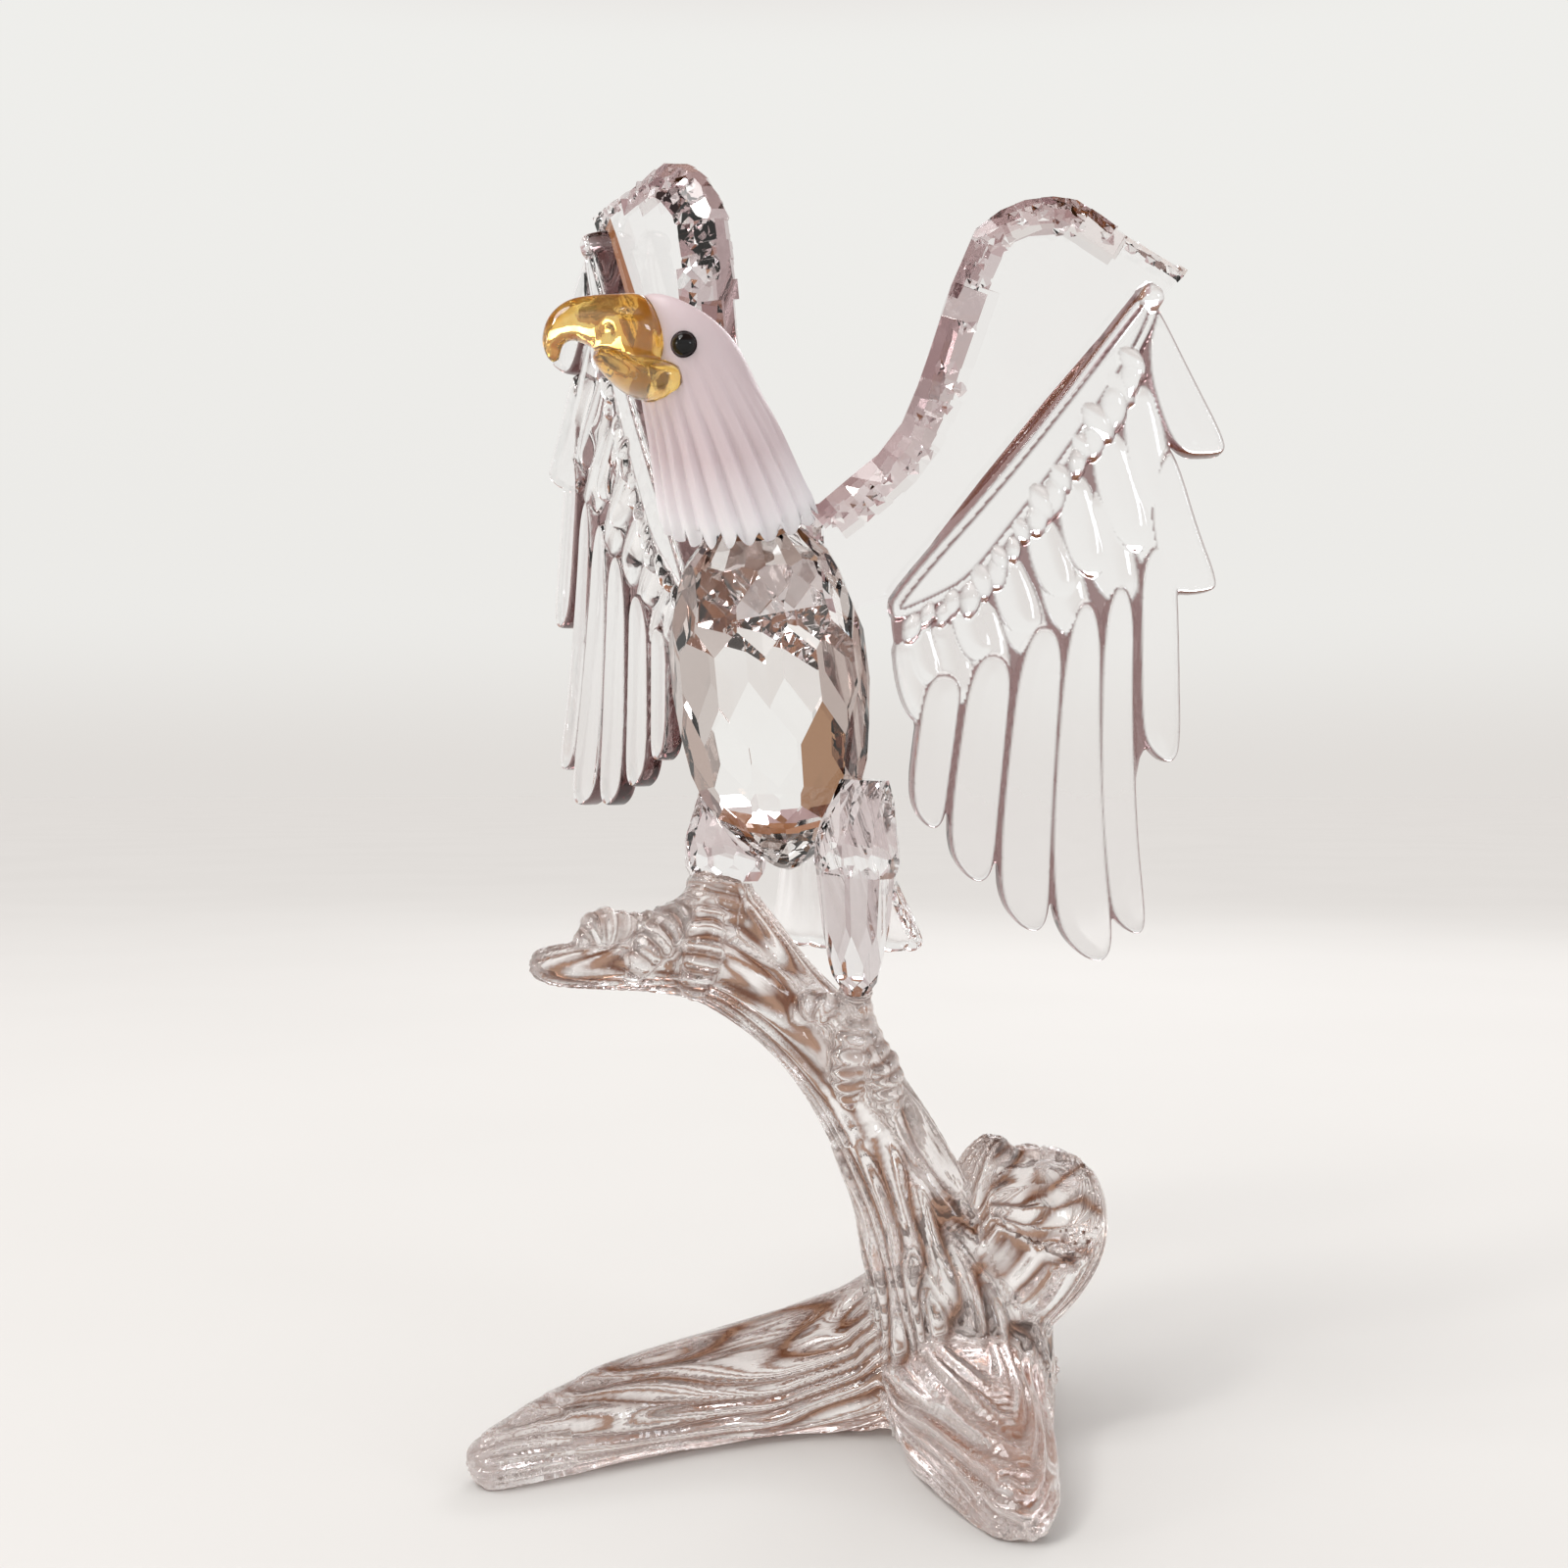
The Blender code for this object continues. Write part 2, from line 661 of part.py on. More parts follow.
def feather_plate():
    """The feather plate's sheet, band, feathers and rows of coverts."""
    low = GLUE_GAP
    shapes = [prism(PLATE_SHEET, low, low + FEATHER_THICKNESS * SHEET_THICKNESS)]
    shapes.append(prism(PLATE_BAND, low, low + FEATHER_THICKNESS))
    thickness = FEATHER_THICKNESS * LONG_THICKNESS
    shapes += [prism(outline, low, low + thickness) for outline in OUTER_FEATHERS]
    for root, tip, half_width, bow in LONG_FEATHERS:
        shapes.append(feather(root, tip, half_width, bow, FEATHER_STATIONS, low, thickness))
    for first_tip, last_tip, first_root, last_root, half_width, thick in COVERT_ROWS:
        thickness = FEATHER_THICKNESS * thick
        for index in range(COVERT_COUNT):
            share = index / (COVERT_COUNT - 1)
            tip = Vector(first_tip).lerp(Vector(last_tip), share)
            root = Vector(first_root).lerp(Vector(last_root), share)
            shapes.append(feather(root, tip, half_width, 0.0, COVERT_STATIONS, low, thickness))
    return shapes


def hollow():
    """The broken stub's fluted scoop, which widens from its apex."""
    apex, end = at(HOLLOW_APEX), at(HOLLOW_END)
    along = (end - apex).normalized()
    facing = Vector(HOLLOW_FACING)
    facing = (facing - along * facing.dot(along)).normalized()
    bm = bmesh.new()
    bmesh.ops.create_uvsphere(bm, u_segments=2 * HOLLOW_FLUTES, v_segments=8, radius=1.0)
    for vert in bm.verts:
        around = math.atan2(vert.co.y, vert.co.x)
        groove = 1 - FLUTE_DEPTH * (0.5 + 0.5 * math.cos(HOLLOW_FLUTES * around))
        reach = groove * (1 + HOLLOW_TAPER * vert.co.z) * SHARE
        vert.co.x *= HOLLOW_HALF_WIDTH * reach
        vert.co.y *= HOLLOW_DEPTH * reach
        vert.co.z *= (end - apex).length / 2
    turn = Matrix((facing.cross(along), facing, along)).transposed().to_4x4()
    matrix = Matrix.Translation((apex + end) / 2) @ turn
    bmesh.ops.transform(bm, matrix=matrix, verts=bm.verts[:])
    return bm


def branch_shapes():
    """Every limb, root and toe of the branch."""
    shapes = []
    for (points, across, twist), flutes in zip(LIMBS, LIMB_FLUTES):
        shapes.append(limb(points, flutes, FLUTE_DEPTH, across, twist))
    for toe in FEET:
        shapes.append(limb(toe, TOE_FLUTES, TOE_FLUTE_DEPTH, TOE_ACROSS))
    return shapes


def finish(name, colour, roughness, transmission, ior):
    """A surface finish for the pieces of one material."""
    material = bpy.data.materials.new(name)
    material.use_nodes = True
    shader = material.node_tree.nodes["Principled BSDF"]
    shader.inputs["Base Color"].default_value = (*colour, 1.0)
    shader.inputs["Roughness"].default_value = roughness
    shader.inputs["Metallic"].default_value = 0.0
    shader.inputs["Transmission Weight"].default_value = transmission
    shader.inputs["IOR"].default_value = ior
    return material


def main():
    for leftover in list(bpy.data.objects):
        bpy.data.objects.remove(leftover)
    figure = bpy.data.collections.new("crystal_eagle")
    cutters = bpy.data.collections.new("cutters")
    for collection in (figure, cutters):
        bpy.context.scene.collection.children.link(collection)

    body_cutter = add_cutter("body_cutter", body_gem(GLUE_GAP), cutters)
    head_cutter = add_cutter("head_cutter", head_skin(GLUE_GAP), cutters)
    grown_bills = [bill(UPPER_BILL, GLUE_GAP), bill(LOWER_BILL, GLUE_GAP)]
    beak_cutter = as_cutter(fuse("beak_cutter", grown_bills, cutters))
    leg_parts = ((LEFT_BELL, BELL_ROWS), (LEFT_SHANK, SHANK_ROWS), (RIGHT_BELL, BELL_ROWS))
    leg_cutters = [
        add_cutter(f"leg_cutter_{index}", leg_part(ends, rows, GLUE_GAP), cutters)
        for index, (ends, rows) in enumerate(leg_parts)
    ]
    ground = bmesh.new()
    bmesh.ops.create_cube(ground, size=ROOM * SHARE)
    ground_cutter = add_cutter("ground", ground, cutters, Matrix.Translation(-UP * ROOM * SHARE / 2))

    pieces = {}
    pieces["body"] = add("body", body_gem(0.0), figure)
    pieces["head"] = add("head", head_skin(0.0), figure)
    pieces["beak"] = fuse("beak", [bill(UPPER_BILL, 0.0), bill(LOWER_BILL, 0.0)], figure)
    cut(pieces["head"], beak_cutter)
    for side, name in ((1, "eye_left"), (-1, "eye_right")):
        pieces[name] = add(name, eye_ball(side, EYE_DIAMETER), figure)
        socket = add_cutter(name + "_socket", eye_ball(side, EYE_DIAMETER + 2 * GLUE_GAP), cutters)
        cut(pieces["head"], socket)

    left_leg = [leg_part(LEFT_BELL, BELL_ROWS, 0.0), leg_part(LEFT_SHANK, SHANK_ROWS, 0.0)]
    pieces["thigh_left"] = fuse("thigh_left", left_leg, figure)
    pieces["thigh_right"] = fuse("thigh_right", [leg_part(RIGHT_BELL, BELL_ROWS, 0.0)], figure)

    mirrored = tuple((-x, y) for x, y in reversed(TAIL_OUTLINE[1:]))
    tail = prism(mirrored + TAIL_OUTLINE, -TAIL_THICKNESS / 2, TAIL_THICKNESS / 2)
    rise = Vector(TAIL_RISE).normalized()
    across = Vector(BODY_FACING).cross(rise).normalized()
    turn = Matrix((across, rise, across.cross(rise))).transposed().to_4x4()
    pieces["tail"] = add("tail", tail, figure, Matrix.Translation(at(TAIL_TIP)) @ turn)

    for side, name, pose in ((1, "left", LEFT_WING), (-1, "right", RIGHT_WING)):
        place = plate_frame(pose)
        wing = pieces["wing_" + name] = add("wing_" + name, wing_plate(place, side), figure)
        feathers = pieces["feathers_" + name] = fuse("feathers_" + name, feather_plate(), figure)
        feathers.data.transform(place)
        if place.determinant() < 0:
            feathers.data.flip_normals()
        cut(wing, head_cutter)
        cut(wing, body_cutter)
        cut(feathers, body_cutter)
    for leg_or_tail in ("thigh_left", "thigh_right", "tail"):
        cut(pieces[leg_or_tail], body_cutter)

    stub_hollow = add_cutter("stub_hollow", hollow(), cutters)
    branch = pieces["branch"] = fuse("branch", branch_shapes(), figure)
    for cutter in (ground_cutter, stub_hollow, *leg_cutters):
        cut(branch, cutter)

    clear = finish("clear_crystal", (0.95, 0.93, 0.94), 0.0, 1.0, 1.55)
    frosted = finish("frosted_crystal", (0.86, 0.78, 0.8), 0.45, 0.5, 1.5)
    amber = finish("amber_crystal", (0.85, 0.5, 0.08), 0.03, 0.9, 1.5)
    black = finish("black_glass", (0.01, 0.01, 0.01), 0.05, 0.0, 1.5)
    finishes = {"head": frosted, "beak": amber, "eye_left": black, "eye_right": black}
    for name, piece in pieces.items():
        piece.data.materials.clear()
        piece.data.materials.append(finishes.get(name, clear))


main()
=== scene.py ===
"""The finished look of a cut-crystal eagle on a cast-glass branch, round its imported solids."""

import json
import logging
import math
from dataclasses import dataclass, field, replace
from enum import Enum
from functools import cache
from itertools import pairwise

import bmesh
import bpy
import numpy as np
from bmesh.types import BMEdge, BMesh, BMVert
from mathutils import Matrix, Vector, noise

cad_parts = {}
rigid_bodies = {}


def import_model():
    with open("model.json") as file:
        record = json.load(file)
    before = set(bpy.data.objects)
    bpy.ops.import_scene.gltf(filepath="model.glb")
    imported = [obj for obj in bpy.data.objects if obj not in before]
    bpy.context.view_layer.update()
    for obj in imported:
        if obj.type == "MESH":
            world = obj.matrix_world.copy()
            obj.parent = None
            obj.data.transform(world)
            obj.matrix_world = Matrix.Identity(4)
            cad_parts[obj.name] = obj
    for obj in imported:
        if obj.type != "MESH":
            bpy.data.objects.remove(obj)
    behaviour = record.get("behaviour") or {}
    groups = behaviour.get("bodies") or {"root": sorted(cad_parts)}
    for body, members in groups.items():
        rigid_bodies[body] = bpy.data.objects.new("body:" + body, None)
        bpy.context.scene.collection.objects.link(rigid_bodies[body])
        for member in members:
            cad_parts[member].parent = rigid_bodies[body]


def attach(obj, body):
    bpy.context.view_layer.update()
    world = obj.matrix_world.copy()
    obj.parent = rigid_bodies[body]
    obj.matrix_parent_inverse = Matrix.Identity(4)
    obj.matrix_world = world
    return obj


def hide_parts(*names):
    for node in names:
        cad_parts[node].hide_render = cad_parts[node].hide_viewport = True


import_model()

LOG = logging.getLogger("eagle")
MM = 0.001
GLUE_GAP = 0.3
CUT_TOLERANCE = 1e-7
WELD = 1e-6
UP = Vector((0.0, 0.0, 1.0))
ROOM = 400.0
SCATTER_RADIUS = (1.0, 0.9, 0.95)
SCATTER_DEPTH = 1.5
NOTHING = -9.0
Point = tuple[float, float, float]
Flat = tuple[float, float]
Rows = tuple[tuple[float, ...], ...]


class Slot(Enum):
    """The record's material slots, one for each kind of finish."""

    CLEAR = "clear_crystal"
    FROSTED = "frosted_crystal"
    AMBER = "amber_crystal"
    BLACK = "black_glass"


class Pattern(Enum):
    """What a finish's fine pattern follows over the surface."""

    OBJECT = "object"
    FLOW = "flow"


def mm(point: Point) -> Vector:
    """Turns a point in millimetres into metres."""
    return Vector(point) * MM


def unit(vector: Point) -> Vector:
    """Gives a direction its unit length."""
    return Vector(vector).normalized()


def round_angles(count: int) -> np.ndarray:
    """Even angles once round a circle, in radians."""
    return np.linspace(0.0, math.tau, count, endpoint=False)


def smooth_path(points: Rows, steps: int) -> np.ndarray:
    """Samples a smooth curve through points of any number of values.

    Args:
        points: One row for each point.
        steps: How many samples each stretch between two points gets.

    Returns:
        The samples, one row each, with the last point at the end.
    """
    points = np.array(points)
    held = np.vstack([points[:1], points, points[-1:]])
    p, q, r, s = held[:-3], held[1:-2], held[2:-1], held[3:]
    samples = []
    for t in np.arange(steps) / steps:
        bend = 2 * p - 5 * q + 4 * r - s + t * (3 * (q - r) + s - p)
        samples.append(q + 0.5 * t * (r - p + t * bend))
    curve = np.stack(samples, axis=1).reshape(-1, points.shape[1])
    return np.vstack([curve, points[-1:]])


def rounded(outline: Rows, passes: int = 3) -> np.ndarray:
    """Rounds a closed outline by cutting its corners a few times, one row for each point."""
    points = np.array(outline, float)
    for _ in range(passes):
        after = np.roll(points, -1, axis=0)
        ends = [0.75 * points + 0.25 * after, 0.25 * points + 0.75 * after]
        points = np.stack(ends, axis=1).reshape(-1, 2)
    return points


def depth_inside(x: np.ndarray, y: np.ndarray, outline: np.ndarray) -> np.ndarray:
    """Measures how far points lie inside a closed outline.

    Args:
        x: The points' first coordinates.
        y: The points' second coordinates.
        outline: The outline, one row for each corner.

    Returns:
        The distance to the outline, negative outside it.
    """
    nearest = np.full(x.shape, np.inf)
    inside = np.zeros(x.shape, bool)
    for (ax, ay), (bx, by) in zip(outline, np.roll(outline, -1, axis=0)):
        ex, ey = bx - ax, by - ay
        share = ((x - ax) * ex + (y - ay) * ey) / max(ex * ex + ey * ey, 1e-12)
        share = np.clip(share, 0.0, 1.0)
        nearest = np.minimum(nearest, (x - ax - share * ex) ** 2 + (y - ay - share * ey) ** 2)
        if ay != by:
            inside ^= ((ay > y) != (by > y)) & (x < ax + (y - ay) * ex / ey)
    return np.where(inside, 1.0, -1.0) * np.sqrt(nearest)


def shoulder(depth: np.ndarray, height: float, width: float) -> np.ndarray:
    """The profile of a cast edge: steep at the outline, rounding over to a flat top.

    Args:
        depth: The distance inside the outline, negative outside.
        height: The height of the flat top.
        width: How far in the rounding reaches.

    Returns:
        The height at each point. It keeps falling outside the outline.
    """
    share = np.clip(depth / width, 0.0, 1.0)
    steep = 3.0 * height / width
    return np.where(depth < 0.0, depth * steep, height * (1 - (1 - share) ** 3))


def axes_at(origin: Point, x: Vector, y: Vector, z: Vector) -> Matrix:
    """A matrix in metres from a place in millimetres and three axes."""
    return Matrix.Translation(mm(origin)) @ Matrix((x, y, z)).transposed().to_4x4()


def plane_frame(origin: Point, along: Point, facing: Point) -> Matrix:
    """A matrix at origin whose Z is along and whose Y is the part of facing square to it."""
    z = unit(along)
    x = Vector(facing).cross(z).normalized()
    return axes_at(origin, x, z.cross(x), z)


def slice_off(bm: BMesh, point: Vector, normal: Vector) -> None:
    """Cuts away what lies beyond a plane and closes the cut.

    Args:
        bm: The mesh to cut.
        point: A point on the plane, in metres.
        normal: The direction in which the mesh is cut away.
    """
    geom = bm.verts[:] + bm.edges[:] + bm.faces[:]
    cut = bmesh.ops.bisect_plane(
        bm, geom=geom, dist=CUT_TOLERANCE, plane_co=point, plane_no=normal, clear_outer=True
    )
    edges = [edge for edge in cut["geom_cut"] if isinstance(edge, BMEdge)]
    bmesh.ops.holes_fill(bm, edges=edges)


def skin(rings: np.ndarray) -> BMesh:
    """Wraps a grid round rings of points, welds its seam and closes both ends.

    Args:
        rings: Points in millimetres, as rings, places round the ring, coordinates.

    Returns:
        The closed mesh, in metres.
    """
    along, around = rings.shape[:2]
    bm = bmesh.new()
    bmesh.ops.create_grid(bm, x_segments=around, y_segments=along - 1, size=0.5)
    wrapped = np.concatenate([rings, rings[:, :1]], axis=1) * MM
    for vert in bm.verts:
        column = round((vert.co.x + 0.5) * around)
        row = round((vert.co.y + 0.5) * (along - 1))
        vert.co = wrapped[row, column]
    bmesh.ops.remove_doubles(bm, verts=bm.verts[:], dist=WELD)
    bmesh.ops.holes_fill(bm, edges=[edge for edge in bm.edges if edge.is_boundary])
    bmesh.ops.recalc_face_normals(bm, faces=bm.faces[:])
    return bm


def prism(outline: Rows, low: float, high: float) -> BMesh:
    """Gives a flat outline its thickness.

    Args:
        outline: The corners in millimetres.
        low: The height of its back.
        high: The height of its front.

    Returns:
        The closed mesh, in metres.
    """
    bm = bmesh.new()
    face = bm.faces.new([bm.verts.new(mm((x, y, low))) for x, y in outline])
    sides = bmesh.ops.extrude_face_region(bm, geom=[face])["geom"]
    top = [item for item in sides if isinstance(item, BMVert)]
    bmesh.ops.translate(bm, verts=top, vec=(0.0, 0.0, (high - low) * MM))
    bmesh.ops.recalc_face_normals(bm, faces=bm.faces[:])
    return bm


def laid_out(name: str, bm: BMesh, collection: bpy.types.Collection) -> bpy.types.Object:
    """Makes an object from a bmesh and frees that.

    Args:
        name: The object's name.
        bm: The object's mesh, which is used up.
        collection: Where the object goes.

    Returns:
        The new object.
    """
    mesh = bpy.data.meshes.new(name)
    bm.to_mesh(mesh)
    bm.free()
    piece = bpy.data.objects.new(name, mesh)
    collection.objects.link(piece)
    return piece


def worked(
    bm: BMesh, modifiers: list[tuple[str, dict]], others: list[BMesh] | None = None
) -> BMesh:
    """Runs a mesh through modifiers and gives back the result as a new mesh.

    Args:
        bm: The mesh, which is used up.
        modifiers: Each modifier's type and its settings.
        others: The operands of a Boolean among them, used up as well.

    Returns:
        The finished mesh.
    """
    bench, tools = (bpy.data.collections.new(name) for name in ("bench", "tools"))
    for collection in (bench, tools):
        bpy.context.scene.collection.children.link(collection)
    piece = laid_out("work", bm, bench)
    for other in others or []:
        laid_out("tool", other, tools)
    for kind, settings in modifiers:
        modifier = piece.modifiers.new(kind.lower(), kind)
        if kind == "BOOLEAN":
            modifier.operand_type = "COLLECTION"
            modifier.collection = tools
            modifier.solver = "EXACT"
        for key, value in settings.items():
            setattr(modifier, key, value)
    evaluated = piece.evaluated_get(bpy.context.evaluated_depsgraph_get())
    result = bmesh.new()
    result.from_mesh(evaluated.to_mesh())
    evaluated.to_mesh_clear()
    for collection in (bench, tools):
        for helper in list(collection.objects):
            mesh = helper.data
            bpy.data.objects.remove(helper)
            bpy.data.meshes.remove(mesh)
        bpy.data.collections.remove(collection)
    return result


def carved(bm: BMesh, cutters: list[BMesh]) -> BMesh:
    """Takes cutters out of a mesh."""
    return worked(bm, [("BOOLEAN", {"operation": "DIFFERENCE"})], cutters)


def remeshed(bm: BMesh, voxel: float, smoothing: int) -> BMesh:
    """Fuses overlapping closed meshes into one even skin.

    Args:
        bm: The meshes, in one.
        voxel: The size of the new faces in millimetres.
        smoothing: How many rounds of smoothing follow.

    Returns:
        The fused mesh.
    """
    fuse = {"mode": "VOXEL", "voxel_size": voxel * MM, "adaptivity": 0.0}
    return worked(bm, [("REMESH", fuse), ("SMOOTH", {"factor": 0.5, "iterations": smoothing})])


def joined(meshes: list[BMesh]) -> BMesh:
    """Gathers meshes into one, without fusing them."""
    whole = bmesh.new()
    for bm in meshes:
        mesh = bpy.data.meshes.new("part")
        bm.to_mesh(mesh)
        bm.free()
        whole.from_mesh(mesh)
        bpy.data.meshes.remove(mesh)
    return whole


def placed(bm: BMesh, matrix: Matrix) -> BMesh:
    """Moves a mesh by a matrix, which may mirror, and keeps its faces outward."""
    bmesh.ops.transform(bm, matrix=matrix, verts=bm.verts[:])
    if matrix.determinant() < 0:
        bmesh.ops.reverse_faces(bm, faces=bm.faces[:])
    return bm


def coordinates(bm: BMesh) -> np.ndarray:
    """The vertices' places in millimetres, one row each."""
    return np.array([vert.co[:] for vert in bm.verts]) / MM


def move_to(bm: BMesh, points: np.ndarray) -> None:
    """Puts the vertices at new places, given in millimetres."""
    for vert, point in zip(bm.verts, points * MM):
        vert.co = point
    bm.normal_update()


def facet_rows(bm: BMesh) -> tuple[np.ndarray, np.ndarray]:
    """The middle of every face, in millimetres, and its direction."""
    bm.normal_update()
    middles = np.array([face.calc_center_median()[:] for face in bm.faces]) / MM
    return middles, np.array([face.normal[:] for face in bm.faces])


def chance(points: np.ndarray) -> np.ndarray:
    """A value from 0 to 1 for every point that is always the same for the same point."""
    return np.modf(np.abs(np.sin(points @ np.array([12.9, 78.2, 37.7])) * 437.5))[0]


@dataclass(frozen=True)
class Stone:
    """A convex cut stone that stands on a flat foot.

    Attributes:
        rows: Rows of facets as (height on the axis, radius, lean in degrees, facets, turn).
        length: The stone's length in millimetres.
        depth: Its size from front to back, as a share of its width.
    """

    rows: Rows
    length: float
    depth: float = 1.0

    def cut(self, grow: float = 0.0) -> BMesh:
        """Cuts the stone from a block, one facet at a time.

        Args:
            grow: How far every facet is moved outward, in millimetres.

        Returns:
            The stone, standing at the origin.
        """
        bm = bmesh.new()
        bmesh.ops.create_cube(bm, size=ROOM * MM)
        slice_off(bm, UP * ((self.length + grow) * MM), UP)
        slice_off(bm, UP * (-grow * MM), -UP)
        for height, radius, lean, facets, turn in self.rows:
            tilt = math.radians(lean)
            for index in range(facets):
                angle = math.tau * (index + turn) / facets
                outward = Vector((math.cos(angle), math.sin(angle), 0.0))
                point = (outward * radius + UP * height) * MM
                normal = outward * math.cos(tilt) + UP * math.sin(tilt)
                point.y *= self.depth
                normal.y /= self.depth
                normal.normalize()
                slice_off(bm, point + normal * grow * MM, normal)
        return bm


class NodeSheet:
    """A node tree with a short way to add nodes and to set or link their inputs."""

    def __init__(self, tree: bpy.types.NodeTree) -> None:
        """Takes the node tree of a material, a world or a group."""
        self.tree = tree

    def feed(self, node: bpy.types.Node, inputs: dict[str, object]) -> None:
        """Gives each named input of a node its value, or the output that feeds it."""
        for key, given in inputs.items():
            if isinstance(given, bpy.types.NodeSocket):
                self.tree.links.new(given, node.inputs[key])
            else:
                node.inputs[key].default_value = given

    def add(self, kind: str, inputs: dict[str, object], **settings: object) -> bpy.types.Node:
        """Adds a node.

        Args:
            kind: The node's type.
            inputs: A value or an output socket for each input, by name.
            settings: Properties of the node by name.

        Returns:
            The new node.
        """
        node = self.tree.nodes.new(kind)
        for key, value in settings.items():
            setattr(node, key, value)
        self.feed(node, inputs)
        return node

    def cloud(
        self, place: bpy.types.NodeSocket, scale: object, detail: float, distortion: float = 0.0
    ) -> bpy.types.NodeSocket:
        """Adds soft noise.

        Args:
            place: The coordinates that it follows.
            scale: How fine it is, as a value or a socket.
            detail: How many finer octaves it has.
            distortion: How far it is warped.

        Returns:
            Its value from 0 to 1.
        """
        inputs = {"Vector": place, "Scale": scale, "Detail": detail, "Distortion": distortion}
        return self.add("ShaderNodeTexNoise", inputs).outputs["Fac"]

    def spread(
        self, value: bpy.types.NodeSocket, reach: Flat, **ends: bpy.types.NodeSocket
    ) -> bpy.types.NodeSocket:
        """Spreads part of a value's range softly over 0 to 1.

        Args:
            value: The value.
            reach: The part that is spread.
            ends: Sockets for other ends than 0 and 1, as low and high.

        Returns:
            The new value.
        """
        inputs = {"Value": value, "From Min": reach[0], "From Max": reach[1]}
        if ends:
            inputs |= {"To Min": ends["low"], "To Max": ends["high"]}
        node = self.add("ShaderNodeMapRange", inputs, interpolation_type="SMOOTHSTEP")
        return node.outputs["Result"]

    def worked_out(self, operation: str, first: object, second: object) -> bpy.types.NodeSocket:
        """Adds a Math node of two inputs and gives its result."""
        node = self.add("ShaderNodeMath", {}, operation=operation)
        self.feed(node, {0: first, 1: second})
        return node.outputs["Value"]

    def group(self, tree: bpy.types.NodeTree, inputs: dict[str, object]) -> bpy.types.NodeSocket:
        """Places a shared group and gives its one output. The tree is set before the inputs."""
        return self.add("ShaderNodeGroup", inputs, node_tree=tree).outputs[0]

    def mixed(self, share: object, first: object, second: object) -> bpy.types.NodeSocket:
        """Mixes two colours by a share from 0 to 1."""
        inputs = {"Factor": share, "A": first, "B": second}
        return self.add("ShaderNodeMix", inputs, data_type="RGBA").outputs["Result"]


def new_group(
    name: str, inputs: dict[str, str], output: str, kind: str
) -> tuple[NodeSheet, bpy.types.bpy_prop_collection]:
    """Starts a shader group.

    Args:
        name: Its name.
        inputs: The name and the kind of each input after Coordinates and Scale.
        output: The name of its output.
        kind: The kind of its output.

    Returns:
        The group's sheet and the sockets that it is given.
    """
    tree = bpy.data.node_groups.new(name, "ShaderNodeTree")
    for label, given in {"Coordinates": "Vector", "Scale": "Float", **inputs}.items():
        tree.interface.new_socket(name=label, in_out="INPUT", socket_type="NodeSocket" + given)
    tree.interface.new_socket(name=output, in_out="OUTPUT", socket_type="NodeSocket" + kind)
    sheet = NodeSheet(tree)
    return sheet, sheet.add("NodeGroupInput", {}).outputs


@cache
def tint_group() -> bpy.types.NodeTree:
    """Builds the group that lets a colour drift softly, and mixes in painted shade and painted
    reflections by a mask.
    """
    inputs = {"Main": "Color", "Drift": "Color", "Edge": "Color", "Shade": "Float"}
    sheet, given = new_group("drifting_tint", inputs, "Color", "Color")
    cloud = sheet.cloud(given["Coordinates"], given["Scale"], 2.0)
    drift = sheet.mixed(sheet.spread(cloud, (0.35, 0.68)), given["Main"], given["Drift"])
    shaded = sheet.mixed(given["Shade"], drift, given["Edge"])
    sheet.add("NodeGroupOutput", {"Color": shaded})
    return sheet.tree


@cache
def wave_group() -> bpy.types.NodeTree:
    """Builds the group for the slight waviness of cast and fire-polished glass."""
    sheet, given = new_group("cast_waves", {"Fine": "Float"}, "Height", "Float")
    swell = sheet.cloud(given["Coordinates"], given["Scale"], 1.0, distortion=0.6)
    faster = sheet.worked_out("MULTIPLY", given["Scale"], 4.0)
    ripple = sheet.cloud(given["Coordinates"], faster, 2.0)
    share = sheet.worked_out("MULTIPLY", ripple, given["Fine"])
    sheet.add("NodeGroupOutput", {"Height": sheet.worked_out("ADD", swell, share)})
    return sheet.tree


@cache
def haze_group() -> bpy.types.NodeTree:
    """Builds the group for polish that is a little duller in places."""
    inputs = {"Polished": "Float", "Dull": "Float"}
    sheet, given = new_group("uneven_polish", inputs, "Roughness", "Float")
    cloud = sheet.cloud(given["Coordinates"], given["Scale"], 3.0)
    haze = sheet.spread(cloud, (0.5, 0.8), low=given["Polished"], high=given["Dull"])
    sheet.add("NodeGroupOutput", {"Roughness": haze})
    return sheet.tree


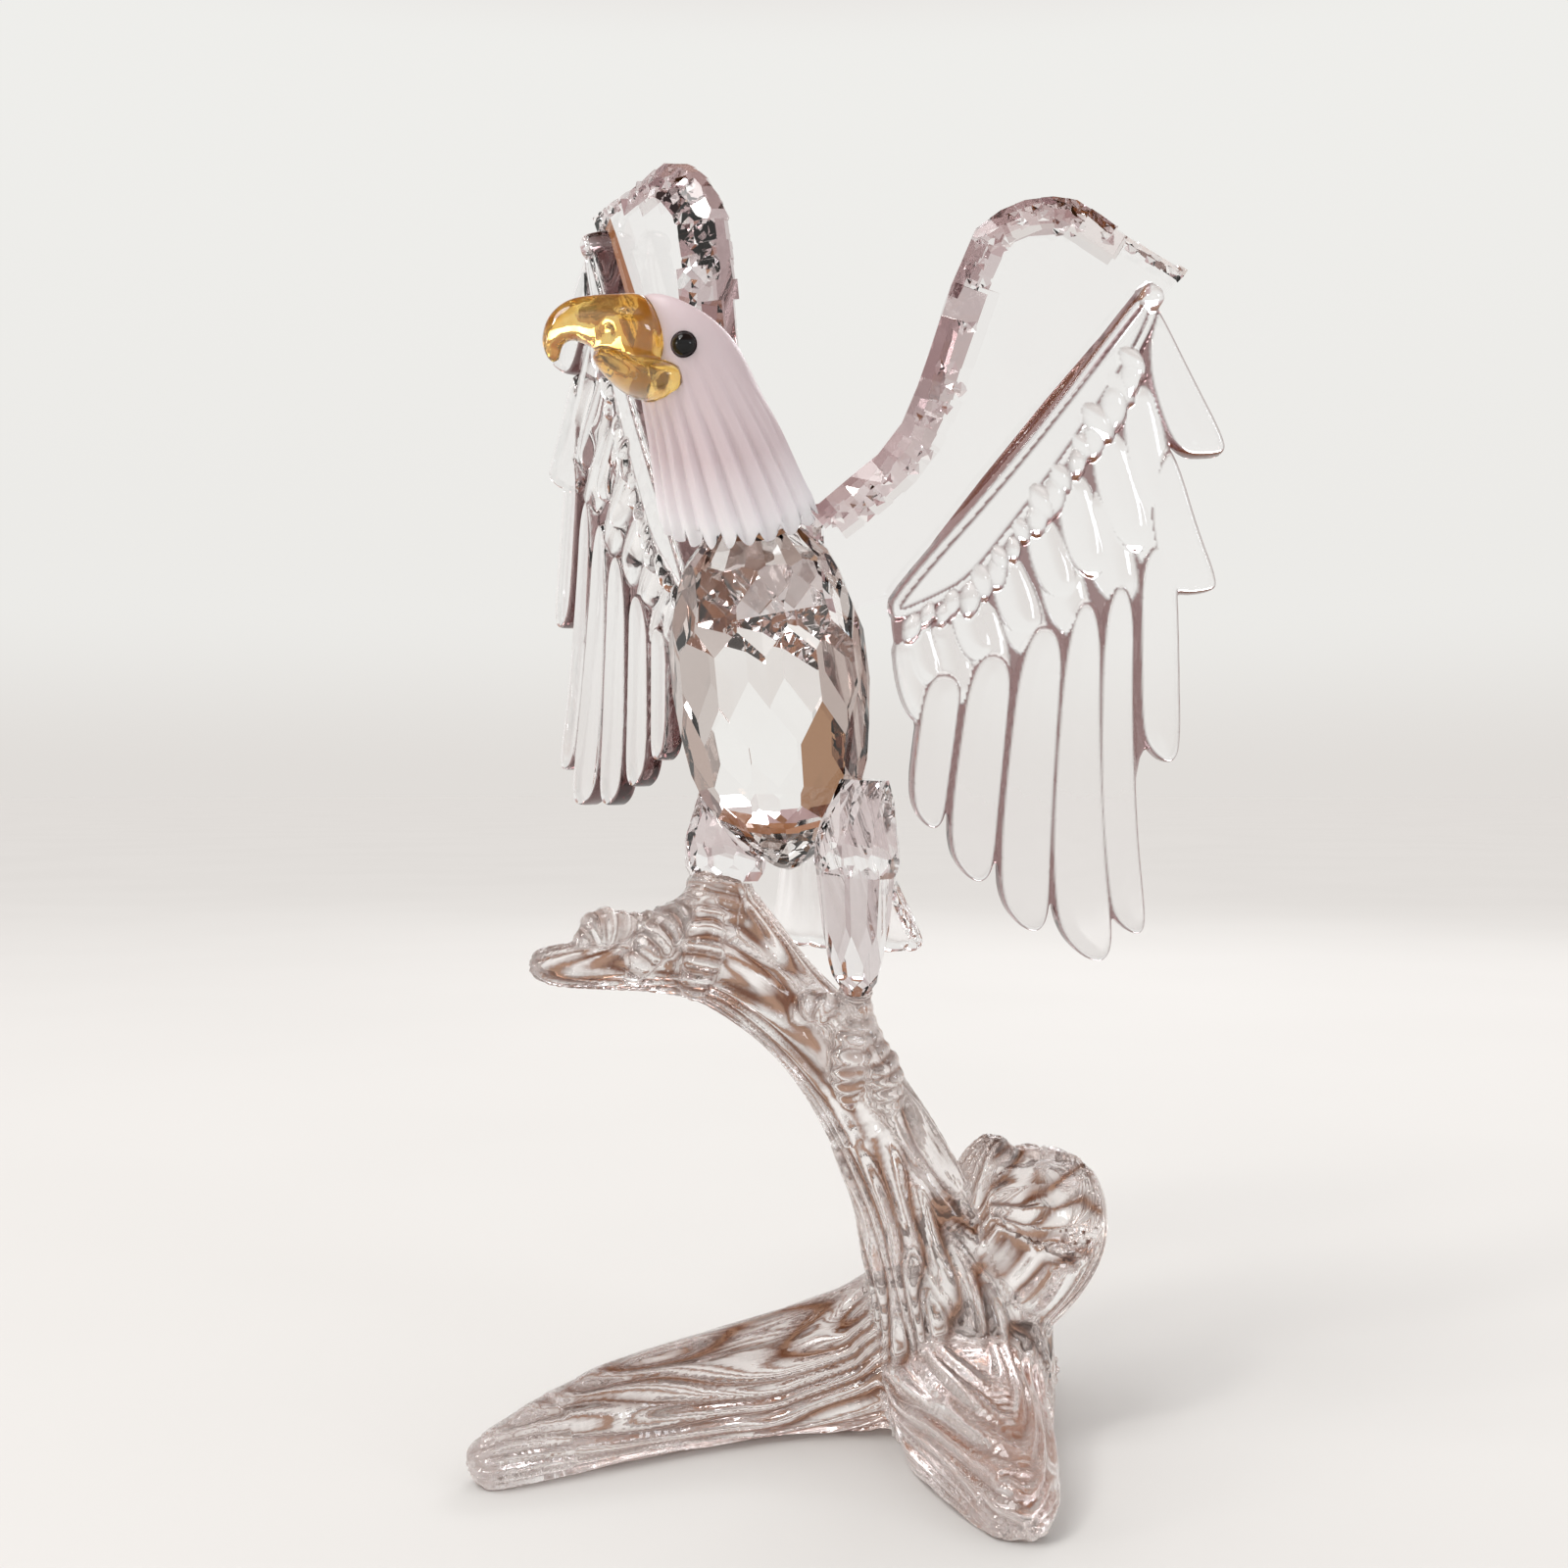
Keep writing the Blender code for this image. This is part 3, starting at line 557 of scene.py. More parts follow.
@dataclass(frozen=True)
class Finish:
    """One glass finish.

    Attributes:
        name: The material's name.
        slot: The record's slot that it belongs to. It is not used.
        main: Its colour.
        drift: The colour that it drifts to in places.
        edge: The colour that the shade mask mixes in: painted shade and painted reflections on the
            clear glass, and a darker tone towards the top on the head and the beak.
        tint_scale: How fine the drift is, in cycles a metre.
        dull: Its roughness where it is dullest.
        ior: Its index of refraction.
        wave_scale: How fine its waviness is, in cycles a metre.
        wave_fine: The share of the finer ripples.
        wave_height: The waviness in millimetres.
        polished: Its roughness where it is polished best.
        transmission: How much light goes through.
        pattern: What the waviness follows.
        scatter: How much light it spreads inside.
        coat: How much of a clear polish lies over it.
    """

    name: str
    slot: Slot
    main: Point
    drift: Point
    edge: Point
    tint_scale: float
    dull: float
    ior: float
    wave_scale: float
    wave_fine: float
    wave_height: float
    polished: float = 0.0
    transmission: float = 1.0
    pattern: Pattern = Pattern.OBJECT
    scatter: float = 0.0
    coat: float = 0.0

    @cache
    def material(self) -> bpy.types.Material:
        """Builds the finish as a material, once.

        Returns:
            The material.
        """
        material = bpy.data.materials.new(self.name)
        material.use_nodes = True
        sheet = NodeSheet(material.node_tree)
        if self.pattern is Pattern.FLOW:
            place = sheet.add("ShaderNodeAttribute", {}, attribute_name="flow").outputs["Vector"]
        else:
            place = sheet.add("ShaderNodeTexCoord", {}).outputs["Object"]
        # The shade attribute masks where the edge colour paints shade and reflections.
        shade = sheet.add("ShaderNodeAttribute", {}, attribute_name="shade").outputs["Fac"]
        colours = {"Main": self.main, "Drift": self.drift, "Edge": self.edge}
        inputs = {label: (*colour, 1.0) for label, colour in colours.items()}
        inputs |= {"Coordinates": place, "Scale": self.tint_scale, "Shade": shade}
        tint = sheet.group(tint_group(), inputs)
        inputs = {"Scale": self.tint_scale * 2, "Polished": self.polished, "Dull": self.dull}
        haze = sheet.group(haze_group(), {"Coordinates": place} | inputs)
        inputs = {"Coordinates": place, "Scale": self.wave_scale, "Fine": self.wave_fine}
        waves = sheet.group(wave_group(), inputs)
        inputs = {"Height": waves, "Strength": 1.0, "Distance": self.wave_height * MM}
        bump = sheet.add("ShaderNodeBump", inputs).outputs["Normal"]
        shader = material.node_tree.nodes["Principled BSDF"]
        sheet.feed(
            shader,
            {
                "Metallic": 0.0,
                "Transmission Weight": self.transmission,
                "IOR": self.ior,
                "Coat Weight": self.coat,
                "Base Color": tint,
                "Roughness": haze,
                "Normal": bump,
            },
        )
        if self.scatter:
            depth = {"Subsurface Radius": SCATTER_RADIUS, "Subsurface Scale": SCATTER_DEPTH * MM}
            sheet.feed(shader, {"Subsurface Weight": self.scatter} | depth)
        return material


# Clear crystal whose edge colour paints mauve reflections on cut facets.
CUT_CRYSTAL = Finish(
    name="cut_crystal",
    slot=Slot.CLEAR,
    main=(0.998, 0.995, 0.997),
    drift=(0.985, 0.975, 0.982),
    edge=(0.34, 0.19, 0.2),
    tint_scale=60,
    dull=0.004,
    ior=1.6,
    wave_scale=90,
    wave_fine=0.0,
    wave_height=0.002,
)
# Clear crystal whose edge colour paints bronze reflections on the torso's facets.
CRYSTAL_WITH_PAINTED_BRONZE = replace(
    CUT_CRYSTAL,
    name="crystal_painted_bronze_reflections",
    main=(0.998, 0.995, 0.992),
    drift=(0.985, 0.975, 0.97),
    edge=(0.17, 0.05, 0.014),
    wave_height=0.001,
)
# Clear crystal whose edge colour paints shade in grooves and along outlines.
CAST_CRYSTAL = Finish(
    name="cast_crystal",
    slot=Slot.CLEAR,
    main=(0.998, 0.996, 0.998),
    drift=(0.985, 0.98, 0.985),
    edge=(0.13, 0.06, 0.06),
    tint_scale=45,
    dull=0.006,
    ior=1.55,
    wave_scale=160,
    wave_fine=0.1,
    wave_height=0.012,
)
# Clear crystal whose edge colour paints brown reflections and the shade in the bark's valleys.
BARK_CRYSTAL = Finish(
    name="bark_crystal",
    slot=Slot.CLEAR,
    main=(0.995, 0.985, 0.98),
    drift=(0.975, 0.945, 0.94),
    edge=(0.17, 0.06, 0.028),
    tint_scale=70,
    dull=0.01,
    ior=1.55,
    wave_scale=420,
    wave_fine=0.3,
    wave_height=0.1,
    pattern=Pattern.FLOW,
)
FROSTED_CRYSTAL = Finish(
    name="satin_crystal",
    slot=Slot.FROSTED,
    main=(0.96, 0.93, 0.955),
    drift=(0.93, 0.89, 0.93),
    edge=(0.66, 0.54, 0.56),
    tint_scale=220,
    polished=0.4,
    dull=0.5,
    transmission=0.2,
    ior=1.5,
    wave_scale=900,
    wave_fine=0.5,
    wave_height=0.04,
    pattern=Pattern.FLOW,
    scatter=0.35,
)
AMBER_CRYSTAL = Finish(
    name="honey_crystal",
    slot=Slot.AMBER,
    main=(1.0, 0.77, 0.26),
    drift=(0.96, 0.5, 0.07),
    edge=(0.55, 0.2, 0.012),
    tint_scale=320,
    polished=0.02,
    dull=0.16,
    transmission=0.93,
    ior=1.38,
    wave_scale=300,
    wave_fine=0.3,
    wave_height=0.05,
    coat=1.0,
)
BLACK_GLASS = Finish(
    name="bead_glass",
    slot=Slot.BLACK,
    main=(0.002, 0.002, 0.002),
    drift=(0.006, 0.006, 0.007),
    edge=(0.05, 0.05, 0.055),
    tint_scale=900,
    polished=0.02,
    dull=0.05,
    transmission=0.0,
    ior=1.36,
    wave_scale=600,
    wave_fine=0.1,
    wave_height=0.01,
)


def dressed(
    name: str,
    bm: BMesh,
    finish: Finish,
    crease: float | None,
    flow: np.ndarray | None = None,
    shade: np.ndarray | None = None,
) -> None:
    """Makes the piece that stands for a CAD node, in its finish.

    Args:
        name: The node's name.
        bm: The piece's mesh, which is used up.
        finish: Its finish.
        crease: Edges sharper than this many degrees stay crisp. None leaves every facet flat.
        flow: A direction field for the finish, one row for each vertex, in metres.
        shade: How much of the edge colour, the painted shade and reflections, shows at each face,
            face corner or vertex.
    """
    piece = laid_out(name + "_glass", bm, bpy.context.scene.collection)
    mesh = piece.data
    if crease is None:
        mesh.shade_flat()
    else:
        mesh.shade_smooth()
        mesh.set_sharp_from_angle(angle=math.radians(crease))
    if flow is not None:
        layer = mesh.attributes.new("flow", "FLOAT_VECTOR", "POINT")
        layer.data.foreach_set("vector", flow.astype(np.float32).ravel())
    if shade is not None:
        if "shade" in mesh.attributes:
            mesh.attributes.remove(mesh.attributes["shade"])
        domains = {len(mesh.polygons): "FACE", len(mesh.loops): "CORNER"}
        layer = mesh.attributes.new("shade", "FLOAT", domains.get(len(shade), "POINT"))
        layer.data.foreach_set("value", shade.astype(np.float32))
    mesh.materials.append(finish.material())
    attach(piece, "root")
    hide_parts(name)
    LOG.info("%s: %d faces", name, len(mesh.polygons))


@dataclass
class Torso:
    """The faceted torso.

    Attributes:
        foot: The lowest point of its axis.
        axis: The direction of its axis.
        facing: The direction that its breast faces.
        joint: A point on its flat top, where the neck is glued.
        joint_axis: The direction square to that top.
        outer: The stone that its neighbours are cut to.
        extra: Rows of small facets at its shoulders and its tail end.
        waist: The heights on its axis between which its flanks get painted bronze reflections.
    """

    foot: Point = (-23.0, -6.0, 73.5)
    axis: Point = (-0.102, -0.266, 0.959)
    facing: Point = (-0.53, -0.85, 0.0)
    joint: Point = (-29.3, -17.0, 117.0)
    joint_axis: Point = (-0.106, -0.519, 0.848)
    outer: Stone = Stone(
        (
            (38.0, 10.6, 34, 16, 0.5),
            (33.0, 11.5, 17, 12, 0.0),
            (25.5, 12.1, 2, 12, 0.5),
            (17.0, 11.6, -8, 12, 0.0),
            (10.0, 10.0, -31, 12, 0.5),
            (4.0, 6.0, -52, 8, 0.0),
        ),
        52,
        0.93,
    )
    extra: Rows = (
        (40.2, 8.95, 44, 22, 0.3),
        (36.0, 10.95, 26, 14, 0.2),
        (11.3, 10.45, -19, 13, 0.3),
        (7.3, 8.1, -42, 11, 0.2),
        (1.6, 3.6, -64, 9, 0.4),
    )
    waist: Flat = (9.0, 30.5)

    def stone(self, rows: Stone, grow: float) -> BMesh:
        """Stands a stone in the torso's place and cuts it square to the neck joint.

        Args:
            rows: The stone.
            grow: How far its faces are moved outward, in millimetres.

        Returns:
            The torso's mesh.
        """
        bm = placed(rows.cut(grow), plane_frame(self.foot, self.axis, self.facing))
        square = unit(self.joint_axis)
        slice_off(bm, mm(self.joint) + square * (grow - GLUE_GAP) * MM, square)
        return bm

    def cutter(self) -> BMesh:
        """The room that the torso needs in its neighbours."""
        return self.stone(self.outer, GLUE_GAP)

    def build(self) -> None:
        """Cuts the torso with all its facets, with painted bronze reflections at its shoulders,
        flanks and neck joint.
        """
        rows = Stone(self.outer.rows + self.extra, self.outer.length, self.outer.depth)
        bm = self.stone(rows, 0.0)
        middles, normals = facet_rows(bm)
        height = (middles - np.array(self.foot)) @ np.array(unit(self.axis))
        sideways = np.array(unit(self.axis).cross(unit(self.facing)))
        flank = (np.abs(normals @ sideways) > 0.72) | (np.abs(normals[:, 0]) > 0.6)
        luck = chance(middles)
        low, high = self.waist
        # Painted bronze reflections: random facets above the waist, the neck joint, the flanks in
        # between, and a few low facets faintly.
        shade = np.where((height > high) & (luck > 0.3), 0.45 + 0.55 * luck, 0.0)
        shade[normals @ np.array(unit(self.joint_axis)) > 0.999] = 1.0
        shade = np.where((height > low) & (height < high) & flank, 0.6 + 0.4 * luck, shade)
        shade = np.where((height <= low) & (luck > 0.55), 0.5 * luck, shade)
        dressed("body", bm, CRYSTAL_WITH_PAINTED_BRONZE, None, shade=shade)


@dataclass
class Head:
    """The frosted head and neck.

    Attributes:
        facing: The direction that the face looks.
        rings: Rings from the neck up, as (x, y, z, half width, half depth, pitch, flute depth).
        flutes: How many flutes run down the neck.
        around: Points round a ring.
        steps: Rings between two given ones.
        hem: How far the notches between the hem's lobes reach up.
        lip: How thick the lobes are.
        brow: The left brow's ridge, from the beak back.
        brow_height: How far the brow stands out.
        brow_width: How wide it is.
    """

    facing: Point = (-0.866, -0.5, 0.0)
    rings: Rows = (
        (-27.4, -14.5, 109.8, 9.8, 10.2, -6, 0.12), (-29.3, -18.0, 117.1, 9.7, 10.1, 0, 0.12),
        (-31.0, -20.3, 123.4, 8.8, 9.2, 6, 0.095), (-32.4, -21.7, 128.2, 8.0, 8.7, 12, 0.03),
        (-33.9, -23.2, 132.6, 7.2, 8.3, 20, 0.004), (-34.8, -24.3, 136.2, 6.4, 7.7, 25, 0.0),
        (-35.1, -24.8, 138.3, 5.0, 6.2, 26, 0.0), (-35.4, -25.0, 139.4, 2.4, 3.0, 26, 0.0),
    )
    flutes: int = 20
    around: int = 240
    steps: int = 10
    hem: float = 2.2
    lip: float = 0.8
    brow: Rows = ((-40.5, -27.3, 138.0), (-36.4, -27.6, 137.6), (-31.6, -26.2, 134.6))
    brow_height: float = 0.7
    brow_width: float = 1.2

    def axes(self) -> tuple[np.ndarray, np.ndarray]:
        """The directions ahead of the face and to its left."""
        forward = np.array(unit(self.facing))
        return forward, np.array(UP.cross(Vector(forward)))

    def ring_points(self, grow: float, around: int, steps: int) -> np.ndarray:
        """Works out the rings of the head's skin.

        Args:
            grow: How far the skin is moved outward, in millimetres.
            around: Points round a ring.
            steps: Rings between two given ones.

        Returns:
            The points, as rings, places round the ring, coordinates.
        """
        forward, side = self.axes()
        path = smooth_path(self.rings, steps)
        angle = round_angles(around)[None, :, None]
        half_width, half_depth, pitch, flute = (path[:, None, None, index] for index in range(3, 7))
        lift = np.radians(pitch)
        front = forward * np.cos(lift) + np.array(UP) * np.sin(lift)
        sweep = 0.85 * np.linspace(0.0, 1.0, len(path))[:, None, None] ** 1.2
        wave = self.flutes * (angle + sweep * np.sin(angle))
        ridges = 0.7 * np.abs(np.sin(wave / 2)) ** 1.4 + 0.3 * np.sin(wave + 2.0) ** 2
        groove = 1 - flute * ridges
        sideways = side * np.sin(angle) * (half_width * groove + grow)
        lengthways = front * np.cos(angle) * (half_depth * groove + grow)
        return path[:, None, :3] + sideways + lengthways

    def cutter(self) -> BMesh:
        """The room that the head needs in its neighbours."""
        bm = skin(self.ring_points(GLUE_GAP, 2 * self.flutes, 1))
        square = unit(TORSO.joint_axis)
        slice_off(bm, mm(TORSO.joint) - square * GLUE_GAP * MM, -square)
        return bm

    def carve_brow(self, points: np.ndarray) -> np.ndarray:
        """Raises a soft brow over each eye.

        Args:
            points: The skin's points in millimetres.

        Returns:
            The points with the brows raised.
        """
        side = self.axes()[1]
        middle = np.array(self.rings[5][:3])
        across = (points - middle) @ side
        ridge = smooth_path(self.brow, 12)
        mirrored = ridge - 2 * ((ridge - middle) @ side)[:, None] * side
        outward = np.sign(across)[:, None] * side * 0.8 + np.array(UP) * 0.6
        raised = points.copy()
        for line in (ridge, mirrored):
            gap = np.linalg.norm(points[:, None, :] - line[None], axis=2).min(axis=1)
            lift = self.brow_height * np.exp(-((gap / self.brow_width) ** 2))
            raised += outward * lift[:, None]
        return raised

    def scallop(self, points: np.ndarray, cap: list[int]) -> np.ndarray:
        """Draws the hem up between its lobes.

        Args:
            points: The skin's points in millimetres.
            cap: The points of the hollow's floor, which stay.

        Returns:
            The points with the hem scalloped.
        """
        forward, side = self.axes()
        normal = np.array(unit(TORSO.joint_axis))
        _, _, _, half_width, half_depth, _, _ = self.rings[1]
        offset = points - np.array(self.rings[1][:3])
        angle = np.arctan2(offset @ side / half_width, offset @ forward / half_depth)
        notch = 1 - np.abs(np.cos(self.flutes * angle / 2)) ** 0.7
        radius = np.linalg.norm(offset - (offset @ normal)[:, None] * normal, axis=1)
        height = (points - np.array(TORSO.joint)) @ normal
        edge = np.exp(-np.clip(height, 0.0, None) / (2 * self.lip)) * (radius > 6.5)
        edge[cap] = 0.0
        return points + normal * (self.hem * notch * edge)[:, None]

    def build(self, cutters: list[BMesh]) -> None:
        """Casts the head, with its flutes, brows and scalloped hem.

        Args:
            cutters: The beak's and the eyes' sockets.
        """
        bm = skin(self.ring_points(0.0, self.around, self.steps))
        square = unit(TORSO.joint_axis)
        slice_off(bm, mm(TORSO.joint), -square)
        cap = min(bm.faces, key=lambda face: face.normal.dot(square) - face.calc_area())
        bmesh.ops.inset_region(bm, faces=[cap], thickness=self.lip * MM)
        bmesh.ops.translate(bm, verts=cap.verts[:], vec=square * (0.85 * self.hem * MM))
        points = self.carve_brow(coordinates(bm))
        move_to(bm, self.scallop(points, [vert.index for vert in cap.verts]))
        bm = carved(bm, cutters)
        points = coordinates(bm)
        forward, side = self.axes()
        offset = points - np.array(self.rings[1][:3])
        angle = np.arctan2(offset @ side, offset @ forward)
        flow = [np.cos(angle) * 9.0, np.sin(angle) * 9.0, points[:, 2] * 0.12]
        height = (points - np.array(TORSO.joint)) @ np.array(square)
        # The edge colour grows from the hem up towards the crown.
        shade = 0.9 * np.clip((height - 2.0) / 8.0, 0.0, 1.0)
        dressed("head", bm, FROSTED_CRYSTAL, 35.0, np.stack(flow, axis=1) * MM, shade)


@dataclass
class Beak:
    """The amber beak: an upper bill that hooks over a lower one.

    Attributes:
        base: Where the bills spring from.
        upper: The upper bill's rings as (forward, up, half width, half height, forward lean).
        lower: The lower bill's rings.
        around: Points round a ring.
        steps: Rings between two given ones.
        nostril: The nostril's place on the upper bill, as (forward, up).
        nostril_size: Half of its length and height.
        nostril_depth: How deep it is pressed in.
    """

    base: Point = (-39.2, -27.0, 134.7)
    upper: Rows = (
        (-0.6, 1.7, 2.6, 4.4, 20), (1.4, 1.9, 3.7, 4.5, 12), (4.0, 2.2, 3.7, 3.8, 8),
        (6.8, 2.3, 3.2, 3.2, 14), (9.2, 2.1, 2.5, 2.7, 32), (11.1, 1.2, 1.9, 2.0, 56),
        (12.2, -0.4, 1.3, 1.3, 84), (12.2, -1.9, 0.8, 0.8, 108), (11.9, -2.6, 0.4, 0.4, 120),
    )
    lower: Rows = (
        (-1.6, -3.3, 4.4, 2.1, 18), (0.8, -3.4, 4.4, 2.2, 4), (3.4, -2.8, 3.3, 1.7, -12),
        (5.8, -1.6, 2.1, 1.2, -20), (7.0, -0.9, 1.0, 0.7, -24),
    )
    around: int = 56
    steps: int = 8
    nostril: Flat = (4.4, 3.0)
    nostril_size: Flat = (1.1, 0.55)
    nostril_depth: float = 0.55

    def bill(self, rings: Rows, grow: float, around: int, steps: int) -> BMesh:
        """Shapes one bill.

        Args:
            rings: Its rings.
            grow: How far it is moved outward, in millimetres.
            around: Points round a ring.
            steps: Rings between two given ones.

        Returns:
            The bill's closed mesh.
        """
        forward, side = HEAD.axes()
        path = smooth_path(rings, steps)
        ahead, rise, half_width, half_height, lean = (path[:, None, None, i] for i in range(5))
        angle = round_angles(around)[None, :, None]
        tilt = np.radians(lean)
        upward = np.array(UP) * np.cos(tilt) + forward * np.sin(tilt)
        centre = np.array(self.base) + forward * ahead + np.array(UP) * rise
        centre[0] -= forward * grow
        sideways = side * np.cos(angle) * (half_width + grow)
        return skin(centre + sideways + upward * np.sin(angle) * (half_height + grow))

    def cutters(self) -> list[BMesh]:
        """The room that the beak needs in the head."""
        return [self.bill(rings, GLUE_GAP / 2, 28, 3) for rings in (self.upper, self.lower)]

    def build(self) -> None:
        """Casts the beak, fused from its two bills, with nostrils."""
        forward, side = HEAD.axes()
        both = (self.upper, self.lower)
        bm = joined([self.bill(rings, 0.0, self.around, self.steps) for rings in both])
        bm = remeshed(bm, 0.2, 3)
        points = coordinates(bm)
        reach = points - np.array(self.base)
        ahead, rise, across = reach @ forward, reach[:, 2], reach @ side
        (nostril_ahead, nostril_rise), (length, height) = self.nostril, self.nostril_size
        gap = np.hypot((ahead - nostril_ahead) / length, (rise - nostril_rise) / height)
        pit = self.nostril_depth * np.exp(-(gap**2)) * np.sign(across)
        move_to(bm, points - side * pit[:, None])
        # The edge colour darkens the bills towards the top, near their root.
        shade = np.clip((rise - 1.5) / 4.0, 0.0, 1.0) * np.clip(1.2 - ahead / 8.0, 0.0, 1.0)
        dressed("beak", bm, AMBER_CRYSTAL, 180.0, shade=0.8 * shade)


@dataclass
class Eyes:
    """The two black beads.

    Attributes:
        diameter: A bead's diameter.
        shows: How much of a bead stands out of the head.
        centre: The middle of the head between the eyes.
        forward: How far forward of it the eyes are.
        outward: How far to each side of it they are.
        ring: The radius of the fine step round the pupil.
        ring_width: How wide that step is.
        ring_depth: How deep it is, as a share of the bead's radius.
    """

    diameter: float = 2.9
    shows: float = 0.45
    centre: Point = (-35.2, -24.5, 134.7)
    forward: float = 2.9
    outward: float = 5.0
    ring: float = 0.62
    ring_width: float = 0.12
    ring_depth: float = 0.008

    def place(self, side: int) -> Matrix:
        """Finds where a bead sits, its Z pointing out of the head.

        Args:
            side: 1 for the left eye and -1 for the right.

        Returns:
            The bead's matrix.
        """
        ahead, left = (Vector(axis) for axis in HEAD.axes())
        reach = ahead * self.forward + left * (self.outward * side)
        outward = reach.normalized()
        sunk = outward * ((self.shows - 0.5) * self.diameter * MM)
        centre = mm(self.centre) + reach * MM + sunk
        return Matrix.Translation(centre) @ outward.to_track_quat("Z", "Y").to_matrix().to_4x4()

    def socket(self, side: int) -> BMesh:
        """The room that a bead needs in the head.

        Args:
            side: 1 for the left eye and -1 for the right.

        Returns:
            The cutter.
        """
        bm = bmesh.new()
        radius = (self.diameter / 2 + 0.12) * MM
        bmesh.ops.create_uvsphere(bm, u_segments=32, v_segments=16, radius=radius)
        return placed(bm, self.place(side))

    def build(self) -> None:
        """Makes both beads, each with a fine step round its pupil."""
        for side, name in ((1, "eye_left"), (-1, "eye_right")):
            bm = bmesh.new()
            radius = self.diameter / 2 * MM
            bmesh.ops.create_uvsphere(bm, u_segments=48, v_segments=32, radius=radius)
            for vert in bm.verts:
                gap = (math.hypot(vert.co.x, vert.co.y) / MM - self.ring) / self.ring_width
                if vert.co.z > 0:
                    vert.co *= 1 - self.ring_depth * math.exp(-(gap**2))
            dressed(name, placed(bm, self.place(side)), BLACK_GLASS, 180.0)


@dataclass
class Legs:
    """The faceted thighs and the left leg's slimmer shank.

    Attributes:
        bell: The bell-shaped thigh's rows of facets.
        bell_extra: Its smaller facets.
        shank: The shank's rows.
        left_bell: The foot and the top of the left thigh.
        left_shank: The foot and the top of the left shank.
        right_bell: The foot and the top of the right thigh.
    """

    bell: Rows = ((1.6, 4.9, -30, 8, 0.0), (3.6, 5.1, 8, 8, 0.5), (8.5, 4.3, 16, 8, 0.0))
    bell_extra: Rows = ((2.6, 5.02, -8, 10, 0.25), (6.2, 4.66, 12, 7, 0.4))
    shank: Rows = ((1.8, 2.6, -32, 8, 0.0), (5.5, 3.5, -13, 8, 0.5), (11.0, 4.1, -5, 8, 0.0))
    left_bell: Rows = ((-15.0, -15.6, 72.6), (-14.4, -16.2, 85.0))
    left_shank: Rows = ((-14.8, -12.4, 58.4), (-15.1, -15.9, 75.6))
    right_bell: Rows = ((-31.4, -6.0, 72.1), (-31.0, -5.8, 84.5))

    def stone(self, ends: Rows, rows: Rows, grow: float) -> BMesh:
        """Cuts one bell or shank between its ends.

        Args:
            ends: Its foot and its top.
            rows: Its rows of facets.
            grow: How far its faces are moved outward, in millimetres.

        Returns:
            The stone in its place.
        """
        foot, top = ends
        along = Vector(top) - Vector(foot)
        return placed(Stone(rows, along.length).cut(grow), plane_frame(foot, along, TORSO.facing))

    def cutters(self) -> list[BMesh]:
        """The room that the legs need in the branch."""
        left = [(self.left_bell, self.bell), (self.left_shank, self.shank)]
        stones = [*left, (self.right_bell, self.bell)]
        return [self.stone(ends, rows, GLUE_GAP) for ends, rows in stones]

    def build(self) -> None:
        """Cuts both legs and fits them to the torso."""
        bell = self.bell + self.bell_extra
        shank = self.stone(self.left_shank, self.shank, 0.0)
        left = self.stone(self.left_bell, bell, 0.0)
        left = worked(left, [("BOOLEAN", {"operation": "UNION"})], [shank])
        right = self.stone(self.right_bell, bell, 0.0)
        for name, bm in (("thigh_left", left), ("thigh_right", right)):
            bm = carved(bm, [TORSO.cutter()])
            # Painted reflections: mauve on random facets.
            luck = chance(facet_rows(bm)[0])
            dressed(name, bm, CUT_CRYSTAL, None, shade=np.where(luck > 0.5, 0.7 * luck, 0.0))


@dataclass
class Tail:
    """The clear fan plate behind the legs.

    Attributes:
        tip: The middle of its lower edge.
        rise: The direction from there to its root.
        outline: Half of its outline as (half width, height).
        thickness: Its thickness.
        ribs: How many feathers it is fluted into.
        rib_depth: How deep the grooves between them are.
        lobe: How far the feathers' ends stand out at its lower edge.
    """

    tip: Point = (-15.4, 2.0, 62.9)
    rise: Point = (-0.16, -0.27, 0.95)
    outline: Rows = ((10.2, 0.2), (11.0, 1.6), (8.3, 10.0), (5.6, 19.0), (3.6, 25.0))
    thickness: float = 3.4
    ribs: int = 6
    rib_depth: float = 0.25
    lobe: float = 0.4

    def build(self) -> None:
        """Casts the fan: a flattened skin with grooves that spread from its root."""
        path = smooth_path(self.outline, 10)
        angle = round_angles(192)[None, :]
        cosine, sine = np.cos(angle), np.sin(angle)
        across = np.sign(cosine) * np.abs(cosine) ** 0.55
        ribs = np.abs(np.cos(across * self.ribs * math.pi / 2))
        half = self.thickness / 2 - self.rib_depth * (1 - ribs**0.6) * np.abs(sine) ** 0.5
        lift = np.sign(sine) * np.abs(sine) ** 0.35 * half
        width, height = path[:, :1], path[:, 1:]
        fade = self.lobe * np.clip(1 - (height - 0.2) / 3.0, 0.0, 1.0)
        lobes = fade * (1 - ribs**0.8) * (np.abs(across) < 0.93)
        end = np.clip((height - 0.2) / 1.2, 0.0, 1.0)
        squeeze = np.sqrt(1 - (1 - end) ** 2) * 0.45 + 0.55
        y = height + lobes - fade * np.cos(across * math.pi / 2)
        rise = unit(self.rise)
        sideways = Vector(TORSO.facing).cross(rise).normalized()
        axes = np.array([sideways[:], rise[:], sideways.cross(rise)[:]])
        rings = np.stack(np.broadcast_arrays(width * across, y, lift * squeeze), axis=2) @ axes
        bm = skin(rings + np.array(self.tip))
        dressed("tail", carved(bm, [TORSO.cutter()]), CAST_CRYSTAL, 30.0)


